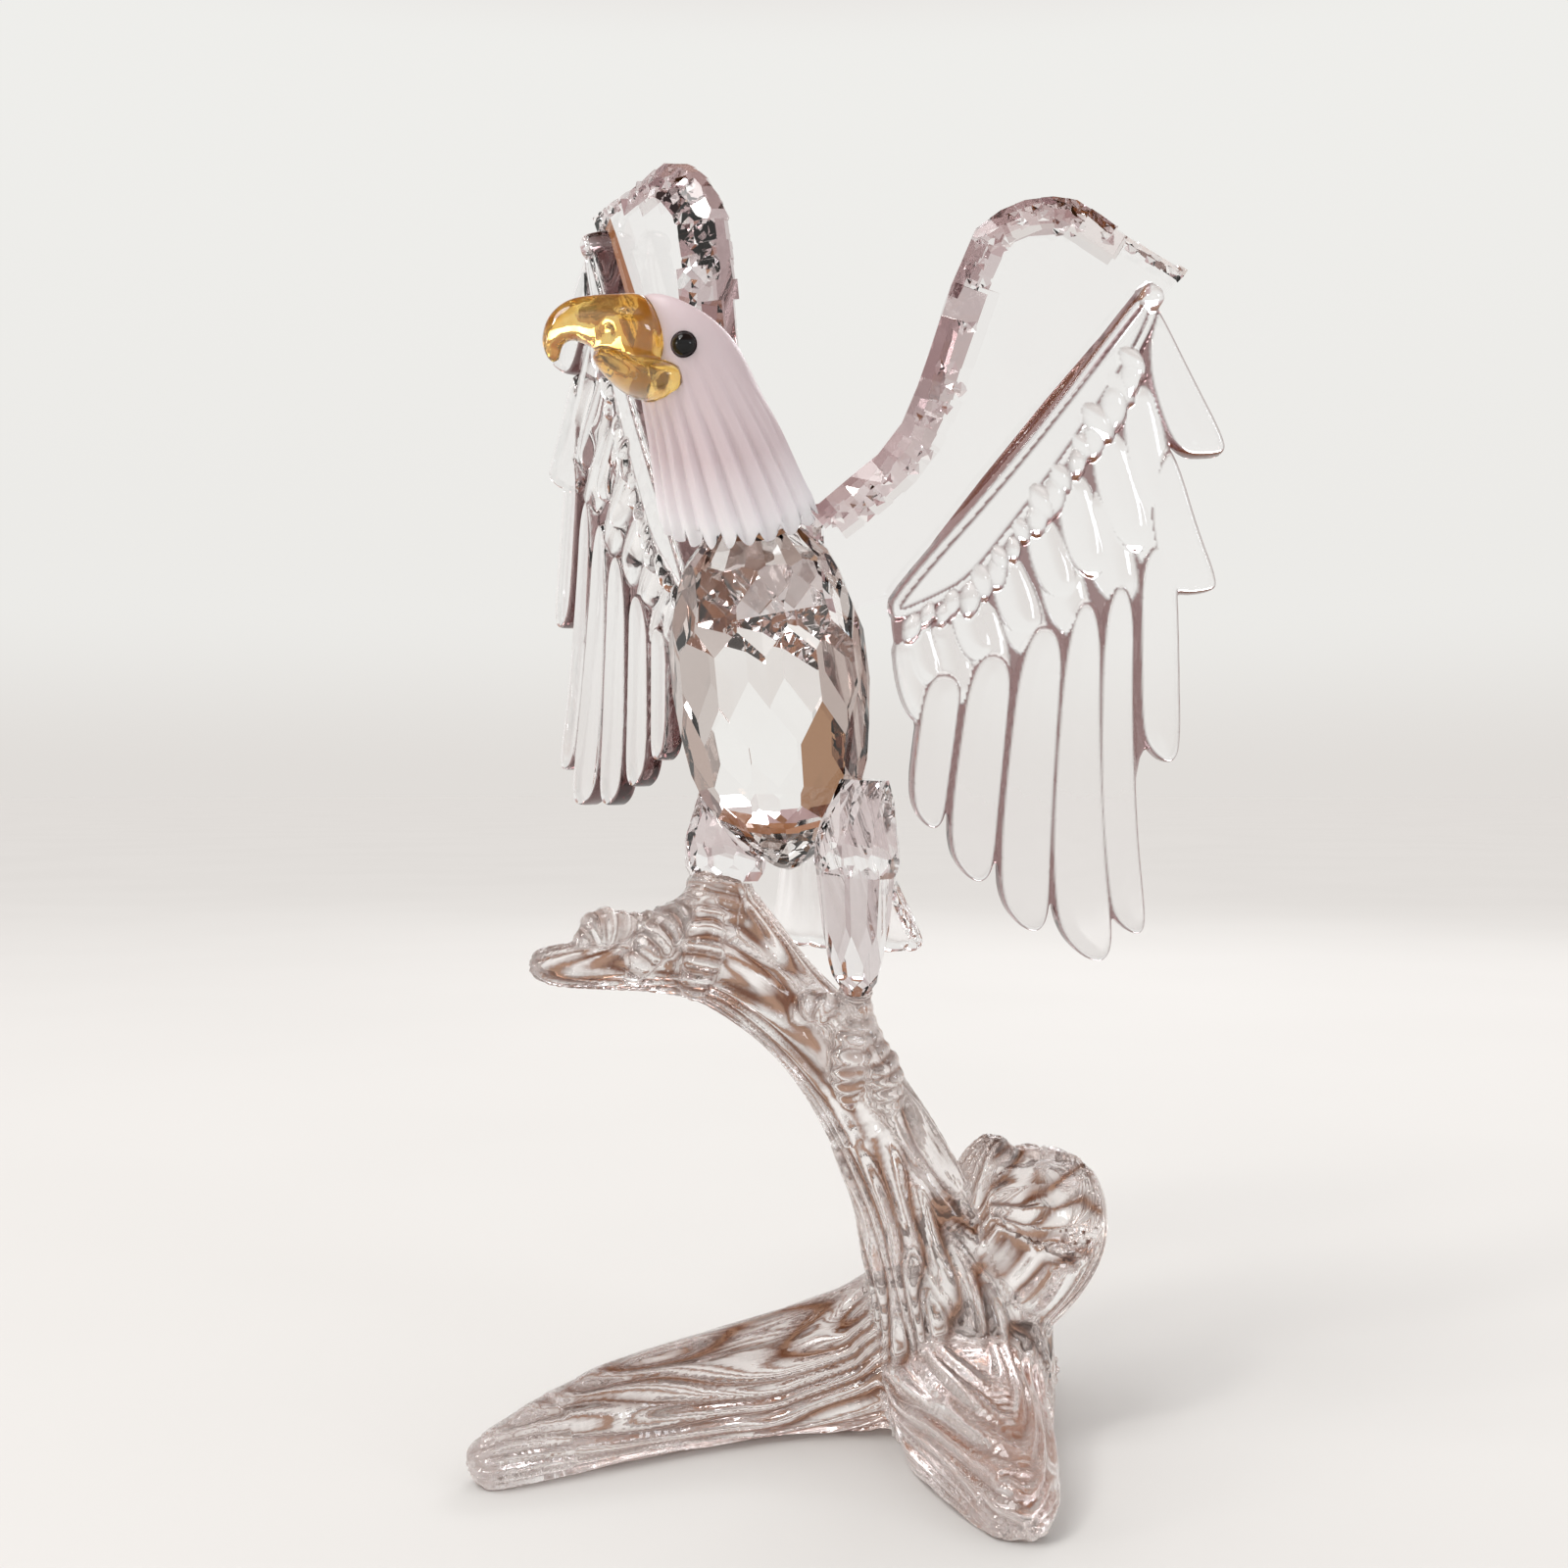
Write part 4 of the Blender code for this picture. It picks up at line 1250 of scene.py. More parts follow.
class Side(Enum):
    """The bird's two wings, each with its root, its way out and its way up."""

    LEFT = ("left", 1, (-17.9, -12.0, 118.6), (1.0, 0.0, 0.0), (0.0, -0.174, 0.985))
    RIGHT = ("right", -1, (-28.6, -10.0, 118.1), (-0.558, 0.713, 0.425), (0.08, -0.431, 0.893))

    def place(self) -> Matrix:
        """The wing's matrix: X out along it, Y up it, Z out of its front face."""
        _, _, origin, out, up = self.value
        x = unit(out)
        y = (Vector(up) - x * x.dot(Vector(up))).normalized()
        z = x.cross(y)
        return axes_at(origin, x, y, -z if z.dot(Vector(TORSO.facing)) < 0 else z)


@dataclass
class ArmPlate:
    """The thick clear plate at the top of each wing, with a facetted leading edge.

    Attributes:
        edge: The cut edge's corners from the root, over the wrist, to the tip.
        plain: The plain edge's corners, back to the root.
        thickness: The plate's thickness.
        band: The width of the facetted band up to the wrist.
        narrow_band: Its width from there on.
        tip_band: The share of that which is left at the tip.
        drop: How far the band's inner facets fall to the edge.
        steeper: How much steeper the outer facets are, in radians.
        pitch: The length of a facet.
        overlap: How far the blocks that cut the facets reach past the band.
        block: The height of such a block.
        nick_size: The width and the depth of the small nicks between the facets.
        long_cut: The number of the edge's leaf-shaped facet.
        sharp_bend: How much the edge turns, as a sine, where a corner gets its own facet.
        tinted: How far out the band's painted reflections reach, and how softly they end.
    """

    edge: Rows = (
        (-1.5, 0.7), (2.3, 3.9), (5.9, 6.8), (8.9, 10.7), (10.8, 15.2), (12.2, 19.3), (14.8, 27.4),
        (17.7, 34.1), (20.7, 36.3), (23.7, 37.5), (27.1, 37.9), (30.1, 37.5), (33.2, 35.6),
        (36.4, 33.4), (43.8, 29.1),
    )
    plain: Rows = (
        (40.7, 26.0), (7.6, -11.2), (3.6, -12.1), (0.4, -15.5), (-6.0, -18.5), (-6.0, 0.0),
    )
    thickness: float = 7.5
    band: float = 5.6
    narrow_band: float = 4.1
    tip_band: float = 0.3
    drop: float = 2.1
    steeper: float = 0.28
    pitch: float = 2.7
    overlap: float = 5.0
    block: float = 5.0
    nick_size: Flat = (2.0, 0.4)
    long_cut: int = 5
    sharp_bend: float = 0.03
    tinted: Flat = (38.0, 4.0)

    def facet(self, origin: Vector, along: Vector, lean: float, size: Flat, face: float) -> BMesh:
        """One block whose underside is the facet that it leaves in the plate.

        Args:
            origin: The middle of the facet's inner edge.
            along: The direction of that edge.
            lean: How steeply the facet falls outward, in radians.
            size: The block's length and width.
            face: 1 for the plate's front and -1 for its back.

        Returns:
            The cutter.
        """
        out = Vector((-along.y, along.x, 0.0))
        normal = out * math.sin(lean) + Vector((0.0, 0.0, face * math.cos(lean)))
        bm = bmesh.new()
        bmesh.ops.create_cube(bm, size=MM)
        shift = Matrix.Translation(mm((0.0, face * (size[1] / 2 - 0.8), self.block / 2)))
        place = axes_at(origin, along, normal.cross(along), normal)
        return placed(bm, place @ shift @ Matrix.Diagonal((*size, self.block, 1.0)))

    def nick(self, origin: Vector, out: Vector, lean: float, turn: float, face: float) -> BMesh:
        """A small pyramid that sets its point into the band.

        Args:
            origin: Where it meets the surface.
            out: The direction to the plate's edge.
            lean: How steeply the surface falls outward, in radians.
            turn: How far the pyramid is turned, in radians.
            face: 1 for the plate's front and -1 for its back.

        Returns:
            The cutter.
        """
        normal = out * math.sin(lean) + Vector((0.0, 0.0, face * math.cos(lean)))
        bm = bmesh.new()
        wide, deep = (size * MM for size in self.nick_size)
        bmesh.ops.create_cone(
            bm, cap_ends=True, segments=4, radius1=wide, radius2=0.0, depth=2 * deep
        )
        point = (-normal).to_track_quat("Z", "Y").to_matrix().to_4x4()
        return placed(bm, Matrix.Translation(mm(origin)) @ (point @ Matrix.Rotation(turn, 4, "Z")))

    def corner(self, at: Vector, before: Vector, after: Vector, wide: float, face: float) -> BMesh:
        """The facet that takes off a corner where the edge turns inward.

        Args:
            at: The corner.
            before: The direction of the edge before it.
            after: The direction of the edge after it.
            wide: The band's width.
            face: 1 for the plate's front and -1 for its back.

        Returns:
            The cutter.
        """
        bend = before.cross(after).z
        bisector = (before + after).normalized()
        inward = Vector((bisector.y, -bisector.x, 0.0)) * wide
        size = (0.5 + 1.3 * bend * wide, wide + self.overlap)
        return self.facet(at + inward, bisector, math.atan(self.drop / wide), size, face)

    def cuts(self, face: float) -> list[BMesh]:
        """Lays out the facets of one face's band.

        Args:
            face: 1 for the plate's front and -1 for its back.

        Returns:
            The cutters.
        """
        level = 0.0 if face > 0 else -self.thickness
        cutters = []
        step = 0
        before = None
        for index, ends in enumerate(pairwise(self.edge)):
            first, last = (Vector((*end, level)) for end in ends)
            length = (last - first).length
            pieces = 1 if index == self.long_cut else max(1, round(length / self.pitch))
            along = (last - first).normalized()
            out = Vector((-along.y, along.x, 0.0))
            wide = self.band if index <= self.long_cut else self.narrow_band
            if index == len(self.edge) - 2:
                wide *= self.tip_band
            if before is not None and before.cross(along).z > self.sharp_bend:
                cutters.append(self.corner(first, before, along, wide, face))
            before = along
            lean = math.atan(self.drop / wide)
            for piece in range(pieces):
                step += 1
                reach = wide * (1 + 0.03 * math.sin(2.4 * step + face))
                middle = first.lerp(last, (piece + 0.5) / pieces)
                skewed = (along + out * (0.05 * math.sin(5.1 * step))).normalized()
                size = (1.12 * length / pieces, reach + self.overlap)
                cutters.append(self.facet(middle - out * reach, skewed, lean, size, face))
                share = 0.45 + 0.1 * math.sin(3.7 * step)
                inner = middle - along * (length / pieces / 2) - out * (wide * share)
                inner.z -= face * wide * (1 - share) * math.tan(lean)
                size = (1.1 * length / pieces, wide * share + 4.0)
                cutters.append(self.facet(inner, along, lean + self.steeper, size, face))
                spot = middle - out * (wide * (0.72 + 0.2 * math.sin(4.3 * step)))
                spot.z -= face * (wide - (middle - spot).dot(out)) * math.tan(lean)
                cutters.append(self.nick(spot, out, lean, 1.9 * step, face))
        return cutters

    def build(self) -> None:
        """Cuts the plate lying flat and fits it to each side of the bird."""
        blank = prism(self.edge + self.plain, -self.thickness, 0.0)
        blank = carved(blank, self.cuts(1.0) + self.cuts(-1.0))
        for side in Side:
            name, sign = side.value[:2]
            place = side.place()
            bm = placed(blank.copy(), place)
            inward = Vector(TORSO.axis).cross(Vector(TORSO.facing)).normalized() * -sign
            slice_off(bm, mm(TORSO.foot) - inward * GLUE_GAP * MM / 2, inward)
            bm = carved(bm, [TORSO.cutter(), HEAD.cutter()])
            middles, normals = facet_rows(bm)
            facing = normals @ np.array(place.col[2][:3])
            luck = chance(middles)
            along = (middles - np.array(place.translation) / MM) @ np.array(place.col[0][:3])
            # Painted reflections: mauve on random steep outer facets, and on the inner back facets
            # nearer the root a darker strip that stands in for the thick side seen through the
            # face.
            outer = np.where(luck > 0.25, 0.3 + 0.7 * luck, 0.1)
            inner = np.where((facing < 0) & (along < 20.0), 0.65 + 0.25 * luck, 0.08 * luck)
            shade = np.where(np.abs(facing) < 0.9, outer, inner)
            shade = np.where(np.abs(facing) > 0.995, 0.0, shade)
            shade *= np.clip((self.tinted[0] - along) / self.tinted[1], 0.1, 1.0)
            dressed("wing_" + name, bm, CUT_CRYSTAL, None, shade=shade)
        blank.free()


def stretch(root: Flat, tip: Flat) -> tuple[np.ndarray, np.ndarray, float]:
    """Measures a feather.

    Args:
        root: Where it starts.
        tip: Where it ends.

    Returns:
        Its start, its direction and its length.
    """
    start = np.array(root)
    along = np.array(tip) - start
    length = np.linalg.norm(along)
    return start, along / length, length


def feather(
    root: Flat, tip: Flat, near: float, far: float, bow: float, shape: Rows
) -> np.ndarray:
    """Draws a feather's rounded outline.

    Args:
        root: Where it starts.
        tip: Where it ends.
        near: Its half width at the root.
        far: Its half width at the end.
        bow: How far its middle is bent to the side.
        shape: Its corners as (share of the length, share of the half width).

    Returns:
        Its outline.
    """
    start, along, length = stretch(root, tip)
    side = np.array([-along[1], along[0]])
    outline = []
    for share, across in shape:
        width = near + (far - near) * share
        middle = start + along * length * share + side * bow * 4 * share * (1 - share)
        outline.append(middle + side * width * across)
    return rounded(outline)


class Relief:
    """A height field over a flat plate, laid up form by form, with a mask of painted shade along
    the forms' edges.
    """

    def __init__(self, x: np.ndarray, y: np.ndarray, line: float) -> None:
        """Starts an empty relief over points, whose forms get a painted line of shade of some
        width.
        """
        self.x, self.y, self.line = x, y, line
        self.height = np.full(x.shape, NOTHING)
        self.shade = np.zeros(x.shape)

    def lay(self, height: np.ndarray, shade: np.ndarray) -> None:
        """Lays a form on what is there, which shows wherever the form is the higher one."""
        self.shade = np.where(height > self.height, shade, self.shade)
        self.height = np.maximum(height, self.height)

    def slab(
        self, outline: np.ndarray, top: float, width: float, crown: Flat, inset: float
    ) -> None:
        """Lays a flat form with rounded edges.

        Args:
            outline: Its outline.
            top: Its height.
            width: How far in its edge is rounded.
            crown: How much its middle rises, and how far in that is.
            inset: How far inside the outline the form starts.
        """
        depth = depth_inside(self.x, self.y, outline) - inset
        height = shoulder(depth, top, width) + crown[0] * np.clip(depth / crown[1], 0.0, 1.0)
        self.lay(height, self.drawn(depth))

    def drawn(self, depth: np.ndarray) -> np.ndarray:
        """How dark the painted line of shade along a form's edge is at some depth inside it, from 0
        to 1.
        """
        return np.clip((self.line - depth) / 0.25, 0.0, 1.0)

    def petal(self, root: Flat, tip: Flat, half_width: float, top: float, shape: Rows) -> None:
        """Lays a covert feather: a smooth petal that is highest near its tip.

        Args:
            root: Where it starts.
            tip: Where it ends.
            half_width: Half of its width.
            top: Its height.
            shape: Its corners, in shares of its size.
        """
        outline = feather(root, tip, half_width, half_width, 0.0, shape)
        depth = depth_inside(self.x, self.y, outline)
        start, along, length = stretch(root, tip)
        share = ((self.x - start[0]) * along[0] + (self.y - start[1]) * along[1]) / length
        slope = 0.66 + 0.34 * np.clip(share, 0.0, 1.0) ** 1.5
        dome = 1 - 0.5 * (1 - np.clip(depth / half_width, 0.0, 1.0)) ** 2
        height = np.where(depth > 0, shoulder(depth, top, 0.55) * slope * dome, depth * 9.0)
        # Painted shade along the petal's outline, a little weaker.
        self.lay(height, 0.75 * self.drawn(depth * 1.2))

    def knob(self, centre: np.ndarray, turn: float, radii: Flat, low: float, high: float) -> None:
        """Lays a rounded knob.

        Args:
            centre: Its middle.
            turn: The direction of its length, in radians.
            radii: Half of its length and half of its width.
            low: The height of its edge.
            high: The height of its top.
        """
        u = (self.x - centre[0]) * math.cos(turn) + (self.y - centre[1]) * math.sin(turn)
        v = (self.y - centre[1]) * math.cos(turn) - (self.x - centre[0]) * math.sin(turn)
        dome = 1 - np.abs(u / radii[0]) ** 1.7 - np.abs(v / radii[1]) ** 1.7
        height = low + (high - low) * np.sqrt(np.clip(dome, 0.0, 1.0))
        # Painted shade round the knob's edge.
        self.lay(np.where(dome > 0, height, NOTHING), np.exp(-((dome / 0.4) ** 2)) * 0.9)


@dataclass
class FeatherPlate:
    """The cast plate of long feathers, coverts and a knobbed band on the front of each arm plate.

    Attributes:
        thickness: The band's thickness.
        grid: The distance between the relief's points.
        line: How far the painted line of shade in a groove reaches up its sides.
        web: The height of the sheet between the feathers, as a share of the thickness.
        feathers: The height of the long feathers, as a share of it.
        sheet: The outline of that sheet.
        band: The outline of the raised band.
        quills: The long feathers as (root, tip, half width at the root and at the end, bow).
        outer: The outlines of the two broad outer feathers.
        coverts: The petals as (root, tip, half width, height), the lowest row first.
        petal: A petal's corners, in shares of its length and half width.
        knob_line: Where the knobs of the band's lower edge run.
        knobs: How many there are.
        corners: Two corners of the area that the relief is laid over.
    """

    thickness: float = 3.0
    grid: float = 0.225
    line: float = 0.75
    web: float = 0.4
    feathers: float = 0.84
    sheet: Rows = (
        (37.6, 27.4), (7.4, -10.1), (7.6, -15.5), (9.4, -23.0), (10.8, -27.0), (11.2, -34.5),
        (14.4, -37.5), (21.0, -45.0), (28.2, -51.0), (36.2, -50.0), (39.5, -48.5), (38.8, -30.5),
        (42.6, -28.5), (42.0, -9.0), (42.2, 7.2), (39.8, 24.0),
    )
    band: Rows = (
        (38.8, 27.6), (37.6, 27.4), (22.4, 7.0), (7.4, -10.1), (6.9, -12.4), (7.9, -14.2),
        (13.2, -12.0), (18.0, -9.4), (23.6, -2.2), (28.6, 4.6), (34.6, 13.6), (38.6, 20.4),
        (40.2, 25.2),
    )
    quills: tuple[tuple[Flat, Flat, float, float, float], ...] = (
        ((14.3, -20.0), (12.2, -40.4), 3.0, 2.6, -0.2),
        ((20.3, -17.5), (17.8, -47.4), 3.3, 3.5, -0.3),
        ((26.6, -14.0), (24.9, -54.0), 3.3, 3.8, -0.6),
        ((31.6, -11.0), (33.2, -58.1), 2.7, 4.3, -1.2),
        ((35.8, -9.0), (38.7, -54.4), 2.6, 2.7, -1.2),
        ((40.4, -4.0), (41.8, -32.0), 2.8, 2.9, 0.0),
    )
    outer: tuple[Rows, ...] = (
        (
            (38.9, 24.6), (39.8, 24.4), (44.1, 16.5), (48.7, 8.4), (48.4, 6.7), (46.8, 6.2),
            (43.0, 6.2), (40.4, 9.5), (37.6, 18.0),
        ),
        (
            (41.0, 8.5), (42.9, 6.0), (45.7, -2.3), (48.4, -8.6), (47.9, -10.3), (42.9, -10.8),
            (40.3, -8.5), (38.5, 2.0),
        ),
    )
    coverts: tuple[tuple[Flat, Flat, float, float], ...] = (
        ((9.3, -15.5), (12.2, -27.4), 2.7, 2.5), ((13.6, -13.6), (16.8, -24.6), 2.9, 2.6),
        ((18.2, -10.8), (20.6, -21.8), 3.0, 2.7), ((22.6, -7.4), (25.2, -18.8), 3.2, 2.7),
        ((27.2, -3.0), (30.6, -16.2), 3.3, 2.8), ((32.4, 2.6), (36.4, -12.4), 3.4, 2.8),
        ((36.8, 6.6), (41.4, -9.0), 3.2, 2.7), ((10.4, -13.2), (12.8, -22.6), 2.5, 2.9),
        ((16.2, -10.0), (19.2, -19.4), 2.8, 3.0), ((21.2, -5.4), (24.8, -16.4), 3.0, 3.1),
        ((25.4, -0.8), (29.2, -11.6), 2.9, 3.1), ((29.4, 4.6), (32.6, -8.8), 3.0, 3.2),
        ((33.4, 9.8), (38.0, -5.6), 3.2, 3.2), ((37.2, 15.4), (40.4, -1.6), 3.0, 3.1),
    )
    petal: Rows = (
        (0.0, 0.7), (0.4, 0.95), (0.7, 1.0), (0.88, 0.84), (1.0, 0.3), (0.97, -0.25), (0.86, -0.7),
        (0.66, -0.95), (0.35, -0.95), (0.0, -0.7),
    )
    knob_line: Rows = (
        (9.0, -14.6), (14.0, -12.4), (18.6, -9.2), (24.6, -1.2), (31.0, 7.8), (37.4, 18.8),
    )
    knobs: int = 22
    corners: Rows = ((4.5, -60.0), (50.5, 29.5))

    def quill(self, root: Flat, tip: Flat, near: float, far: float, bow: float) -> np.ndarray:
        """Draws a long feather, its end cut on the slant with the point outward.

        Args:
            root: Where it starts.
            tip: Where it ends.
            near: Its half width at the root.
            far: Its half width at the end.
            bow: How far its middle is bent to the side.

        Returns:
            Its outline.
        """
        length = stretch(root, tip)[2]
        right = [(1.5, 1.0), (0.5, 0.9), (0.1, 0.62), (0.0, 0.3)]
        left = [(0.25, -0.2), (0.95, -0.76), (2.0, -0.98)]
        end = [(1 - widths * far / length, across) for widths, across in right + left]
        shape = [(0.0, 0.9), (0.35, 1.0), (0.7, 1.0), *end, (0.55, -1.0), (0.0, -0.9)]
        return feather(root, tip, near, far, bow, shape)

    def lay_knobs(self, relief: Relief) -> None:
        """Sets uneven knobs along the band's lower edge, like a twisted rope.

        Args:
            relief: The relief that they are laid on.
        """
        line = smooth_path(self.knob_line, 24)
        steps = np.linalg.norm(np.diff(line, axis=0), axis=1)
        length = np.concatenate([[0.0], np.cumsum(steps)])
        for index in range(self.knobs):
            reach = length[-1] * (index + 0.5 + 0.2 * math.sin(7.7 * index)) / self.knobs
            centre, ahead = (
                np.array([np.interp(place, length, line[:, axis]) for axis in (0, 1)])
                for place in (reach, reach + 0.5)
            )
            ahead -= centre
            turn = math.atan2(ahead[1], ahead[0]) + 0.9 + 0.5 * math.sin(3.1 * index)
            size = 0.95 + 0.5 * (index / self.knobs) ** 2 + 0.22 * math.sin(5.3 * index)
            centre += np.array([-ahead[1], ahead[0]]) * (1.6 * (index % 2) - 0.6)
            height = 3.6 + 0.3 * math.sin(1.9 * index)
            relief.knob(centre, turn, (2.3 * size, 1.3 * size), 2.0, height)
        relief.knob((38.4, 25.4), 0.0, (1.8, 1.8), 2.4, 3.7)

    def relief(self, x: np.ndarray, y: np.ndarray) -> Relief:
        """Lays up the plate's front.

        Args:
            x: Points out along the wing.
            y: Points up the wing.

        Returns:
            The relief, its height measured from the plate's flat back.
        """
        relief = Relief(x, y, self.line)
        level, low, high = (0.0, 1.0), self.thickness * self.web, self.thickness * self.feathers
        relief.slab(rounded(self.sheet, 2), low, 0.6, level, 0.0)
        for quill in self.quills:
            relief.slab(self.quill(*quill), high, 0.75, (0.2, 2.4), 0.0)
        for outline in self.outer:
            relief.slab(rounded(outline, 2), high, 0.9, (0.3, 4.0), 0.0)
        # Painted shade: the low web between the feathers turns fully dark.
        relief.shade = np.where(relief.height < self.thickness * 0.43, 1.0, relief.shade)
        for covert in self.coverts:
            relief.petal(*covert, self.petal)
        relief.slab(rounded(self.band, 2), self.thickness - 0.3, 0.6, level, 0.0)
        relief.slab(rounded(self.band, 2), self.thickness, 0.5, level, 1.1)
        self.lay_knobs(relief)
        return relief

    def blank(self) -> BMesh:
        """Casts the plate lying on its flat back.

        Returns:
            The plate's mesh, with the shade of its points in a layer.
        """
        low, high = np.array(self.corners)
        across, up = (int(cells) for cells in np.ceil((high - low) / self.grid))
        bm = bmesh.new()
        bmesh.ops.create_grid(bm, x_segments=across, y_segments=up, size=0.5)
        places = np.array([vert.co[:2] for vert in bm.verts])
        x, y = (low + (places + 0.5) * (high - low)).T
        relief = self.relief(x, y)
        height = GLUE_GAP + np.clip(relief.height, -1.5, None)
        move_to(bm, np.stack([x, y, height], axis=1))
        mask = bm.verts.layers.float.new("shade")
        for vert, value in zip(bm.verts, relief.shade):
            vert[mask] = value
        bmesh.ops.triangulate(bm, faces=bm.faces[:], quad_method="SHORT_EDGE")
        slice_off(bm, UP * (GLUE_GAP * MM), -UP)
        front = [vert for vert in bm.verts if vert.co.z > (GLUE_GAP + 0.05) * MM]
        axes = {"use_axis_x": True, "use_axis_y": True, "use_axis_z": True}
        for _ in range(2):
            bmesh.ops.smooth_vert(bm, verts=front, factor=0.5, **axes)
        bmesh.ops.recalc_face_normals(bm, faces=bm.faces[:])
        return bm

    def build(self) -> None:
        """Fits a plate to each side of the bird, and leaves its flat back without painted shade."""
        blank = self.blank()
        for side in Side:
            bm = carved(placed(blank.copy(), side.place()), [TORSO.cutter()])
            mask = bm.verts.layers.float["shade"]
            back = side.place().col[2].xyz
            shade = []
            for face in bm.faces:
                front = face.normal.dot(back) > -0.99
                shade += [loop.vert[mask] * front for loop in face.loops]
            name = "feathers_" + side.value[0]
            dressed(name, bm, CAST_CRYSTAL, 50.0, shade=np.array(shade))
        blank.free()


@dataclass
class Limb:
    """One limb, root or toe of the branch.

    Attributes:
        points: (x, y, z, radius) from one end to the other, in millimetres.
        flutes: How many main flutes run along it.
        across: A direction square to the first corner of its section.
        twist: How far the flutes turn from end to end, in radians.
        depth: How deep the main flutes are, as a share of the radius.
        knuckles: How strongly a toe is ringed.
        bark: How strongly the bark's ribbons are carved.
    """

    points: Rows
    flutes: int
    across: Point
    twist: float = 0.0
    depth: float = 0.12
    knuckles: float = 0.0
    bark: float = 1.0
    path: np.ndarray = field(init=False)
    sides: np.ndarray = field(init=False)
    tops: np.ndarray = field(init=False)
    along: np.ndarray = field(init=False)
    reach: np.ndarray = field(init=False)

    def __post_init__(self) -> None:
        """Samples the limb's path and the frame that its section turns in."""
        self.path = smooth_path(self.points, 10)
        ahead = np.gradient(self.path[:, :3], axis=0)
        self.along = ahead / np.linalg.norm(ahead, axis=1, keepdims=True)
        sides = np.cross(self.along, np.array(self.across))
        self.sides = sides / np.linalg.norm(sides, axis=1, keepdims=True)
        self.tops = np.cross(self.sides, self.along)
        steps = np.linalg.norm(np.diff(self.path[:, :3], axis=0), axis=1)
        self.reach = np.concatenate([[0.0], np.cumsum(steps)])

    def tube(self) -> BMesh:
        """Shapes the limb as a closed fluted tube."""
        angle = round_angles(72)[None, :]
        turn = self.twist * np.linspace(0.0, 1.0, len(self.path))[:, None]
        ridge = np.abs(np.cos(self.flutes * angle / 2)) ** 0.8
        radius = self.path[:, 3:] * (1 - self.depth * (1 - ridge))
        turned = (angle + turn)[..., None]
        out = self.sides[:, None] * np.cos(turned) + self.tops[:, None] * np.sin(turned)
        return skin(self.path[:, None, :3] + out * radius[..., None])

    def straightened(self, points: np.ndarray) -> tuple[np.ndarray, np.ndarray]:
        """Reads points in the limb's own frame.

        Args:
            points: Places in millimetres.

        Returns:
            How far each lies outside the limb, and its place as (round, round, along).
        """
        gaps = np.full(len(points), np.inf)
        nearest = np.zeros(len(points), int)
        for index, (*centre, radius) in enumerate(self.path):
            gap = np.linalg.norm(points - centre, axis=1) - radius
            closer = gap < gaps
            gaps[closer] = gap[closer]
            nearest[closer] = index
        offset = points - self.path[nearest, :3]
        ahead, sideways, upward = (
            np.einsum("ij,ij->i", offset, axis[nearest])
            for axis in (self.along, self.sides, self.tops)
        )
        reach = self.reach[nearest]
        angle = np.arctan2(upward, sideways) - self.twist * (reach / self.reach[-1])
        radius = self.path[nearest, 3]
        place = [radius * np.cos(angle), radius * np.sin(angle), reach + ahead]
        return gaps, np.stack(place, axis=1)


